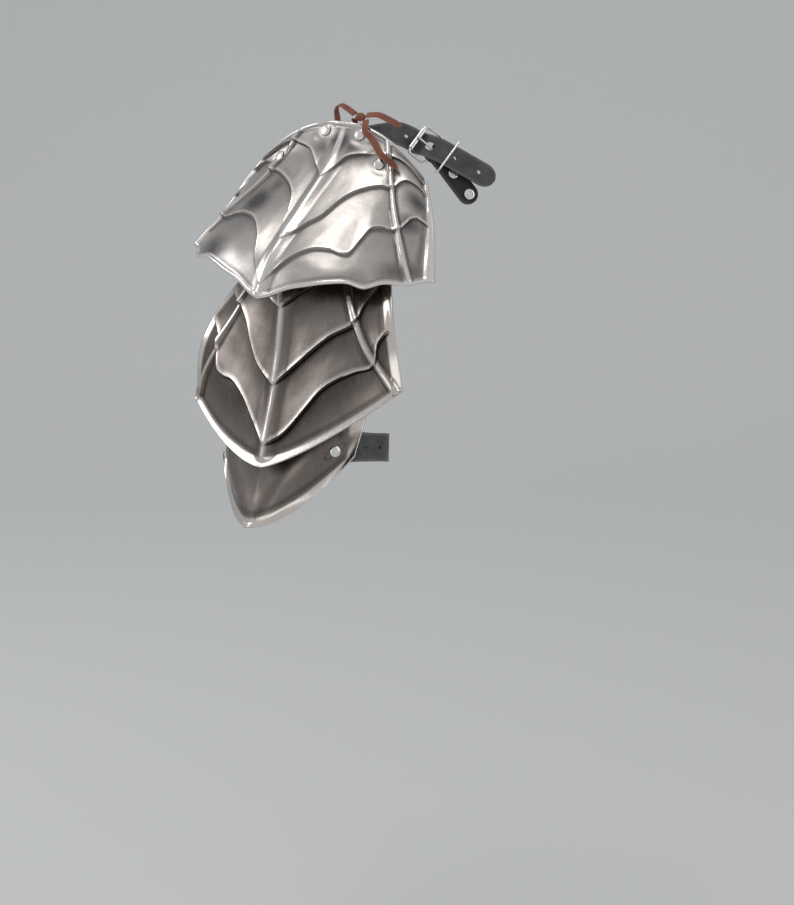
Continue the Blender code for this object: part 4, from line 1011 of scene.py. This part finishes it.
LACE_SLACK = LACE_THICK + 4 * CLEARANCE
rim_v = RIM_RIVETS["rim_rivet_back"][1]


def on_buckle(along_run, off):
    """A place on the straight run at the buckle."""
    return BUCKLE_AT + STRAP_RUN * along_run + STRAP_FACE * off


# Share s, and the slack between the strap and the steel there
under_rim = (
    (-0.34, 0.0008), (-0.24, 0.0004), (-0.20, 0.0003), (-0.16, 0.0004), (-0.09, LACE_SLACK),
    (0.0, LACE_SLACK * 1.2), (0.09, LACE_SLACK), (0.16, 0.0004), (0.20, 0.0003), (0.24, 0.0006),
)
strap_route = [cap.inside(s, rim_v, UNDER + slack) for s, slack in under_rim]
strap_looks = [cap.normal(s, rim_v) for s, slack in under_rim]
strap_route += [Vector((0.032, 0.010, -0.0115)), Vector((0.041, 0.022, -0.0105))]
strap_looks += [Vector((0.60, -0.66, 0.45)), Vector((0.64, -0.64, 0.40))]
strap_route += [
    on_buckle(-BUCKLE_REACH - 0.007, -UNDER_ROLLER), on_buckle(-BUCKLE_REACH + 0.003, -UNDER_ROLLER),
    on_buckle(-0.0085, 0.0010), on_buckle(-0.0030, OVER_BAR - 0.0006), on_buckle(0.003, OVER_BAR + 0.0010),
    on_buckle(0.020, OVER_BAR + 0.0014), on_buckle(0.040, OVER_BAR + 0.0014),
    on_buckle(STRAP_TIP, OVER_BAR + 0.0010),
]
strap_looks += [STRAP_FACE] * 8
STRAP_COUNT = 148
strap_places, strap_faces = path(strap_route, strap_looks, STRAP_COUNT)
strap_long = length(strap_places)
strap_step = strap_long / (STRAP_COUNT - 1)
shoulder_strap = strap(
    "shoulder_strap_hide", strap_places, strap_faces,
    round_tip(STRAP_COUNT, STRAP_WIDE, 0.013, strap_step), STRAP_THICK, grey_leather,
)
for name, (s, v) in RIM_RIVETS.items():
    join(name, cap, s, v, (shoulder_cap, shoulder_strap), STEEL + STRAP_THICK + 2 * CLEARANCE + 0.0010)


def pierce(target, places, faces, at, radius=HOLE_RADIUS):
    """Punch round holes through a strap at distances from its first place."""
    run = 0.0
    want = sorted(at)
    for a, b, face in zip(places, places[1:], faces):
        step = (b - a).length
        while want and run + step >= want[0]:
            punch(target, a.lerp(b, (want[0] - run) / step), face, radius, 0.008)
            want.pop(0)
        run += step


to_tongue = strap_long - STRAP_TIP - 0.0064
pierce(shoulder_strap, strap_places, strap_faces, [to_tongue + HOLE_PITCH * k for k in (-2, -1, 1, 2)])
TONGUE_HOLE = KEEPER_WIRE / 2 + 0.0032
pierce(shoulder_strap, strap_places, strap_faces, [to_tongue], TONGUE_HOLE)
stand_for(shoulder_strap, "shoulder_strap")
print("shoulder strap:", round(strap_long, 3), "m long")

# %% [markdown]
# ## The buckle
# A roller buckle is a bent wire frame with a loose tube on its far side and a wire tongue round its
# bar. The chape, a doubled strip of black leather, holds it by the bar, and a wire keeper holds the
# strap's end. Wires are curves with a round section, made meshes so that they export as they look.

# %% Buckle, keeper and chape
def wire(name, places, thick, finish, closed=False):
    """A bent wire through places, with a round section, as a mesh."""
    data = bpy.data.curves.new(name, "CURVE")
    data.dimensions = "3D"
    data.bevel_depth = thick / 2
    data.bevel_resolution = 5
    data.use_fill_caps = not closed
    spline = data.splines.new("POLY")
    spline.points.add(len(places) - 1)
    for point, place in zip(spline.points, places):
        point.co = (*place, 1.0)
    spline.use_cyclic_u = closed
    curve_obj = bpy.data.objects.new(name + "_line", data)
    bpy.context.scene.collection.objects.link(curve_obj)
    bm = bmesh.new()
    bm.from_mesh(curve_obj.to_mesh())
    bpy.data.objects.remove(curve_obj, do_unlink=True)
    bmesh.ops.remove_doubles(bm, verts=bm.verts[:], dist=0.000005)
    bmesh.ops.recalc_face_normals(bm, faces=bm.faces[:])
    return finished(name, bm, finish, 50)


def corner_loop(corners, radius, steps=8):
    """A closed way round corners, each rounded by a radius."""
    places = []
    count = len(corners)
    for i, corner in enumerate(corners):
        back = (corners[i - 1] - corner).normalized() * radius
        ahead = (corners[(i + 1) % count] - corner).normalized() * radius
        for k in range(steps + 1):
            t = k / steps
            places.append(corner + back * (1 - t) ** 2 + ahead * t ** 2)
    return places


run_way = Matrix.Rotation(math.radians(-BUCKLE_TURN), 3, STRAP_FACE) @ STRAP_RUN
across_way = STRAP_FACE.cross(run_way).normalized()
bar_place = BUCKLE_AT - across_way * (BUCKLE_REACH / 2 * math.tan(math.radians(BUCKLE_TURN)))


def at(a, b, c=0.0):
    """A place on the buckle: along the run, across it and off its face."""
    return bar_place + run_way * a + across_way * b + STRAP_FACE * c


half_span = BUCKLE_SPAN / 2
frame_corners = [
    at(0, half_span), at(-BUCKLE_REACH, half_span), at(-BUCKLE_REACH, -half_span), at(0, -half_span),
]
stand_for(
    wire("buckle_frame_nickel", corner_loop(frame_corners, 0.0034), WIRE, nickel, closed=True),
    "shoulder_buckle_frame",
)
roller_in = WIRE / 2 + CLEARANCE
roller_out = roller_in + ROLLER_WALL
roller_long = half_span - 0.003 - 0.0010
roller_profile = (
    (roller_out, roller_long - 0.0003), (roller_out, 0.0), (roller_out, -roller_long + 0.0003),
    (roller_out - 0.0003, -roller_long), (roller_in, -roller_long), (roller_in, roller_long),
    (roller_out - 0.0003, roller_long), (roller_out, roller_long - 0.0003),
)
stand_for(
    turned("buckle_roller_nickel", roller_profile, at(-BUCKLE_REACH, 0), across_way, nickel, 36),
    "shoulder_buckle_roller",
)
ring = WIRE / 2 + CLEARANCE + KEEPER_WIRE / 2
tongue_top = ring + CLEARANCE + ROLLER_WALL
turns = [math.radians(a) for a in range(200, 9, -10)]
tongue = [at(ring * math.sin(t), 0, ring * math.cos(t)) for t in turns]
tongue += [
    at(-BUCKLE_REACH * 0.25, 0, ring + 0.0002), at(-BUCKLE_REACH * 0.5, 0, ring + 0.0006),
    at(-BUCKLE_REACH * 0.8, 0, tongue_top), at(-BUCKLE_REACH - 0.0015, 0, tongue_top + CLEARANCE),
]
stand_for(wire("buckle_tongue_nickel", tongue, KEEPER_WIRE, nickel), "shoulder_buckle_tongue")
CHAPE_LAYER = WIRE / 2 + CLEARANCE + CHAPE_THICK / 2
KEEP_AT = 0.013
KEEP_TOP = OVER_BAR + STRAP_THICK / 2 + 0.0014 + CLEARANCE + KEEPER_WIRE / 2
KEEP_LOW = -(CHAPE_LAYER + CHAPE_THICK / 2 + 2 * CLEARANCE + KEEPER_WIRE / 2)
keeper_corners = [
    at(KEEP_AT, 0.0195, KEEP_TOP), at(KEEP_AT, -0.0135, KEEP_TOP), at(KEEP_AT, -0.0135, KEEP_LOW),
    at(KEEP_AT, 0.0195, KEEP_LOW),
]
stand_for(
    wire("strap_keeper_nickel", corner_loop(keeper_corners, 0.0022), KEEPER_WIRE, nickel, closed=True),
    "strap_keeper",
)

SINK = 0.0006
chape_slope = math.tan(math.radians(CHAPE_DRIFT))
chape_close = CHAPE_LAYER - CHAPE_THICK * 0.5 - CLEARANCE


def chape_layer(f, side):
    off = side * (CHAPE_LAYER - chape_close * smooth(f * 3)) - SINK * smooth(f * 3)
    return at(CHAPE_LONG * f, -chape_slope * CHAPE_LONG * max(0.0, f - 0.12), off)


CHAPE_COUNT = 36
chape_shares = [1.0 - k / CHAPE_COUNT for k in range(CHAPE_COUNT)] + [0.014]
chape_places = [chape_layer(f, -1) for f in chape_shares]
for angle in range(0, 181, 12):
    t = math.radians(angle)
    chape_places.append(at(-CHAPE_LAYER * math.sin(t), 0, -CHAPE_LAYER * math.cos(t)))
chape_places += [chape_layer(f, 1) for f in reversed(chape_shares)]
last = len(chape_places) - 1
chape_faces = []
for j in range(last + 1):
    ahead = (chape_places[min(j + 1, last)] - chape_places[max(j - 1, 0)]).normalized()
    chape_faces.append(ahead.cross(across_way).normalized())
chape_widths = []
for j in range(last + 1):
    left = min(j, last - j) * CHAPE_LONG / CHAPE_COUNT
    t = min(left / 0.0085, 1.0)
    chape_widths.append(CHAPE_WIDE * max(math.sqrt(1 - (1 - t) ** 2), 0.22))
chape = strap(
    "shoulder_chape_hide", chape_places, chape_faces, chape_widths, CHAPE_THICK, black_leather, 0.0, 0.0004,
)
bm = bmesh.new()
bmesh.ops.create_cube(bm, size=1.0)
chape_frame = Matrix((run_way, across_way, STRAP_FACE)).transposed().to_4x4()
chape_slot = Matrix.Diagonal((CHAPE_LAYER * 2 + 0.010, KEEPER_WIRE + 2 * CLEARANCE + 0.0008, 0.012, 1.0))
slot_place = Matrix.Translation(at(-CHAPE_LAYER - 0.0001 + 0.0030, 0))
bmesh.ops.transform(bm, matrix=slot_place @ chape_frame @ chape_slot, verts=bm.verts[:])
cut_out(chape, bm)
top = CHAPE_THICK + CLEARANCE - SINK
for k, f in enumerate((0.46, 0.86)):
    place = at(CHAPE_LONG * f, -chape_slope * CHAPE_LONG * max(0.0, f - 0.12), top)
    punch(chape, place, STRAP_FACE, SHANK_HOLE)
    name = "shoulder_chape_rivet_%d" % (k + 1)
    rivet(name, place, STRAP_FACE, 2 * CHAPE_THICK + 3 * CLEARANCE, RIVET_HEAD, 0.0012, True)
stand_for(chape, "shoulder_chape")
print("buckle, keeper and chape made")

# %% [markdown]
# ## The arm strap
# The lower lame is held to the arm by a wider strap. It runs from the back rivet round the inner side
# of the arm and meets a short strap from the front rivet under a stud.

# %% Arm strap
ARM_LOOP_HALF = LOW_HALF * 1.04
ARM_LOOP_DEEP = LOW_HALF * 0.80
ARM_LOOP_AT = (0.0, -LOW_REACH * 0.41)
ARM_OVERLAP = 34.0
ARM_DROOP = 0.012
ARM_UNDER = STEEL + CLEARANCE + STRAP_THICK / 2 + SEAT + 0.0010
LAID_OVER = STRAP_THICK + CLEARANCE
back_s, back_v = ARM_RIVETS["arm_rivet_back"]
front_s, front_v = ARM_RIVETS["arm_rivet_front"]
arm_down_back = -low.base(back_s, back_v).z
arm_down_front = -low.base(front_s, front_v).z


def arm_loop(angle, off=0.0):
    """A place on the loop round the arm, from 0 at the back to 180 at the front."""
    t = math.radians(angle)
    down = arm_down_back + (arm_down_front - arm_down_back) * angle / 180
    x = ARM_LOOP_AT[0] + (ARM_LOOP_HALF + off) * math.cos(t)
    y = ARM_LOOP_AT[1] + (ARM_LOOP_DEEP + off) * math.sin(t)
    return Vector((x, y, -down - ARM_DROOP * math.sin(t)))


def arm_look(angle):
    t = math.radians(angle)
    return Vector((math.cos(t) / ARM_LOOP_HALF, math.sin(t) / ARM_LOOP_DEEP, 0)).normalized()


back_seat = (
    (back_s - 0.16, back_v - 0.03, 0.0014), (back_s - 0.08, back_v - 0.01, 0.0004), (back_s, back_v, 0.0),
    (back_s + 0.07, back_v + 0.04, 0.0006), (0.985, back_v + 0.12, 0.0016),
)
arm_route = [low.inside(s, v, ARM_UNDER + d) for s, v, d in back_seat]
arm_looks = [low.normal(s, back_v) for s, v, d in back_seat]
arm_ends = 160.0
under_ends = arm_ends - ARM_OVERLAP
around = (
    (12, 0.0), (35, 0.0), (60, 0.0), (88, 0.0), (under_ends - 16, 0.0), (under_ends - 6, LAID_OVER * 0.9),
    (under_ends + 2, LAID_OVER * 1.1), (under_ends + ARM_OVERLAP / 2, LAID_OVER * 1.1),
    (arm_ends, LAID_OVER * 1.1),
)
for angle, off in around:
    arm_route.append(arm_loop(angle, off))
    arm_looks.append(arm_look(angle))
ARM_COUNT = 117
arm_places, arm_faces = path(arm_route, arm_looks, ARM_COUNT)
arm_long = length(arm_places)
arm_strap = strap(
    "arm_strap_hide", arm_places, arm_faces,
    round_tip(ARM_COUNT, ARM_WIDE, 0.014, arm_long / (ARM_COUNT - 1)), STRAP_THICK, grey_leather,
)
front_seat = (
    (front_s + 0.15, front_v, 0.0006), (front_s + 0.07, front_v, 0.0002), (front_s, front_v, 0.0),
    (front_s - 0.07, front_v + 0.04, 0.0006), (-0.985, front_v + 0.12, 0.0016),
)
short_route = [low.inside(s, v, ARM_UNDER + d) for s, v, d in front_seat]
short_looks = [low.normal(s, front_v) for s, v, d in front_seat]
for angle in (168, arm_ends, (arm_ends + under_ends) / 2, under_ends):
    short_route.append(arm_loop(angle))
    short_looks.append(arm_look(angle))
SHORT_COUNT = 58
short_places, short_faces = path(short_route, short_looks, SHORT_COUNT)
arm_short = strap(
    "arm_strap_end_hide", short_places, short_faces, [ARM_WIDE] * SHORT_COUNT, STRAP_THICK, grey_leather,
)
join("arm_rivet_back", low, back_s, back_v, (lower_lame, arm_strap), STACK + 0.0014)
join("arm_rivet_front", low, front_s, front_v, (lower_lame, arm_short), STACK + 0.0014)
stud_angle = (arm_ends + under_ends) / 2
stud_at = arm_loop(stud_angle, LAID_OVER + STRAP_THICK / 2)
stud_axis = arm_look(stud_angle)
for piece in (arm_strap, arm_short):
    punch(piece, stud_at, stud_axis, SHANK_HOLE)
rivet("arm_clasp_stud", stud_at, stud_axis, 2 * STRAP_THICK + 3 * CLEARANCE)
pierce(arm_strap, arm_places, arm_faces, [0.050, 0.050 + HOLE_PITCH * 0.6, 0.050 + HOLE_PITCH * 1.2])
stand_for(arm_strap, "arm_strap")
stand_for(arm_short, "arm_strap_end")
print("arm strap:", round(arm_long, 3), "m long")

# %% [markdown]
# ## The lace
# A flat leather lace is tied round the shoulder strap over the neck rim: a loop that stands up, a knot
# pulled tight, and two tails cut to a point. Such a lace could be simulated, but it is stiff enough to
# keep the bends that tying gave it, so its ribbon is laid through a few given points.

# %% Lace
KNOT_AT = Vector((0.0165, -0.0005, 0.0042))
KNOT_HALF = Vector((0.0056, 0.0040, 0.0040))
LACE_TIP = 0.009
LACE_EDGE = 0.0003
NEAR = CLEARANCE + LACE_THICK / 2
GAP_MID = (STEEL + UNDER + 1.2 * LACE_SLACK - STRAP_THICK / 2) / 2
BACK_OF_STRAP = UNDER + 1.2 * LACE_SLACK + STRAP_THICK / 2 + NEAR + CLEARANCE
left_end = KNOT_AT - Vector((KNOT_HALF.x + CLEARANCE * 2, 0, 0))
right_end = KNOT_AT + Vector((KNOT_HALF.x + CLEARANCE * 2, 0, 0))
inner_way = cap.normal(0, 0.1) * -1
loop_route = [
    left_end + Vector((0, 0, 0.0022)),
    Vector((0.001, 0.002, 0.0105)),
    Vector((-0.009, 0.004, 0.0140)),
    Vector((-0.0160, 0.007, 0.0100)),
    Vector((-0.0165, 0.009, 0.0010)),
    cap.inside(-0.14, 0.06, BACK_OF_STRAP),
    cap.inside(-0.09, 0.12, BACK_OF_STRAP),
    cap.inside(-0.04, 0.158, BACK_OF_STRAP * 0.75),
    cap.inside(0.0, 0.145, GAP_MID),
    cap.inside(0.03, 0.10, GAP_MID),
    cap.inside(0.05, 0.05, GAP_MID),
    cap.inside(0.08, 0.0, GAP_MID) + Vector((0, 0, 0.0005)),
    left_end - Vector((0.0004, 0, 0.0018)),
]
loop_looks = [
    Vector((-0.5, -0.2, 0.85)), Vector((-0.5, -0.2, 0.85)), Vector((-0.25, -0.2, 0.95)),
    Vector((-0.9, -0.1, 0.4)), Vector((-0.9, 0.4, 0.0)), inner_way + Vector((-0.3, 0, 0)), inner_way,
    Vector((-0.3, 0.1, -0.95)), -inner_way, -inner_way, -inner_way, -inner_way, Vector((0.45, -0.5, -0.7)),
]
tail_route = [
    right_end + Vector((0, 0.0004, 0.0016)), Vector((0.034, 0.0018, 0.0064)),
    Vector((0.046, 0.003, 0.0020)), Vector((0.0575, 0.004, -0.003)),
]
tail_looks = [Vector((0, -0.6, 0.8))] * 4
DRAPE = (
    (0.28, 0.04, 0.0044), (0.34, 0.055, 0.0050), (0.42, 0.09, 0.0054), (0.47, 0.125, 0.0058),
    (0.54, 0.14, 0.0072), (0.60, 0.15, 0.0070), (0.66, 0.158, 0.0054),
)
drape_route = [right_end + Vector((0.0004, -0.0014, -0.0024))]
drape_route += [cap.base(s, v) + cap.normal(s, v) * h for s, v, h in DRAPE]
drape_looks = [Vector((0, -0.8, 0.6))] + [cap.normal(s, v) for s, v, h in DRAPE]


def lace_piece(node, route, looks, count, far_end):
    """A stretch of lace, with its length printed; a bare end is pointed."""
    places, faces = path(route, looks, count)
    long = length(places)
    widths = [LACE_WIDE] * count
    if far_end == "bare":
        widths = round_tip(count, LACE_WIDE, LACE_TIP, long / (count - 1))
    piece = strap(node + "_hide", places, faces, widths, LACE_THICK, lace_leather, 0.0, LACE_EDGE)
    stand_for(piece, node)
    print(node, round(long, 4), "m long")


lace_piece("lace_loop", loop_route, loop_looks, 82, "object")
lace_piece("lace_tail_upper", tail_route, tail_looks, 34, "bare")
lace_piece("lace_tail_lower", drape_route, drape_looks, 58, "bare")

# %% Lace knot
bm = bmesh.new()
knot_turns = (
    (Vector((1, 0.15, 0.25)), 1.00, 0.0),
    (Vector((0.75, 0.1, -0.6)), 0.86, 0.0009),
    (Vector((0.55, -0.2, 0.8)), 0.80, -0.0010),
)
for axis, size, slide in knot_turns:
    axis = axis.normalized()
    one = axis.cross(Vector((0, 0, 1))).normalized()
    two = axis.cross(one).normalized()
    places = []
    looks = []
    for k in range(33):
        t = math.tau * k / 32
        way = one * math.cos(t) + two * math.sin(t)
        reach = Vector((way.x * KNOT_HALF.x * 0.8, way.y * KNOT_HALF.y * 0.78, way.z * KNOT_HALF.z * 0.78))
        places.append(KNOT_AT + Vector((slide, 0, 0)) + reach * size)
        looks.append(way)
    ribbon_mesh(bm, places, looks, [LACE_WIDE * 0.92] * 33, 0.0004, 4)
bm.normal_update()
knot = finished("lace_knot_hide", bm, lace_leather, 60)
wall = knot.modifiers.new("leather", "SOLIDIFY")
wall.thickness = LACE_THICK * 0.8
wall.offset = 0.0
soften = knot.modifiers.new("rubbed edges", "BEVEL")
soften.width = LACE_EDGE
soften.segments = 2
stand_for(knot, "lace_knot")
print("lace knot made")

# %% [markdown]
# ## Floor, light and backdrop
# Polished steel looks like what stands round it, so most of its look is light: a broad soft lamp above
# for the long bright streaks, weaker ones to the sides, and a pale room. A picture of a real room
# could light it, but plain lamps keep the file on its own.

# %% Floor and backdrop
FLOOR = -0.78
BEND_FROM = 1.4
BEND_LONG = 1.4
BEND_RADIUS = 0.9
bm = bmesh.new()
bmesh.ops.create_grid(bm, x_segments=1, y_segments=40, size=1.0)
for vert in bm.verts:
    t = (vert.co.y + 1) * 3.0 - 2.2
    angle = min(max(t - BEND_FROM, 0.0), BEND_LONG) / BEND_LONG * math.pi / 2
    back = min(t, BEND_FROM) + BEND_RADIUS * math.sin(angle)
    rise = BEND_RADIUS * (1 - math.cos(angle)) + max(t - (BEND_FROM + BEND_LONG), 0.0) * 2.2
    vert.co = Vector((vert.co.x * 4.5, back, rise))
turn = Matrix.Rotation(math.radians(CAMERA_TURN), 3, "Z")
bmesh.ops.rotate(bm, verts=bm.verts[:], cent=(0, 0, 0), matrix=turn)
bmesh.ops.translate(bm, verts=bm.verts[:], vec=(-0.2, 0.2, FLOOR))
paper = Finish("pale_paper", Roughness=0.9, Base_Color=(0.80, 0.81, 0.81), Specular_IOR_Level=0.2)
backdrop = finished("backdrop", bm, paper.material, 80)

# %% Lamps
AIM = Vector((0.0, -0.06, -0.16))


def lamp(name, place, wide, tall, watts, tint=(1.0, 1.0, 1.0)):
    data = bpy.data.lights.new(name, "AREA")
    data.shape = "RECTANGLE"
    data.size = wide
    data.size_y = tall
    data.energy = watts
    data.color = tint
    obj = bpy.data.objects.new(name, data)
    obj.location = place
    obj.rotation_euler = (AIM - Vector(place)).to_track_quat("-Z", "Y").to_euler()
    bpy.context.scene.collection.objects.link(obj)


lamp("broad_lamp_above", (-0.34, -0.28, 1.10), 0.55, 0.40, 2.2, (1.0, 0.98, 0.96))
lamp("side_lamp_front", (-1.22, -0.62, 0.60), 0.80, 0.55, 3.2, (0.97, 0.98, 1.0))
lamp("side_lamp_back", (1.5, 0.1, 0.45), 0.4, 1.2, 1.6, (1.0, 0.97, 0.94))
lamp("fill_lamp", (0.5, -1.7, 0.1), 1.0, 0.5, 1.2)
world = bpy.data.worlds.new("pale_room")
world.use_nodes = True
background = world.node_tree.nodes["Background"]
background.inputs[0].default_value = (0.80, 0.81, 0.82, 1.0)
background.inputs[1].default_value = 0.64
bpy.context.scene.world = world
bpy.context.scene.view_settings.view_transform = "Standard"
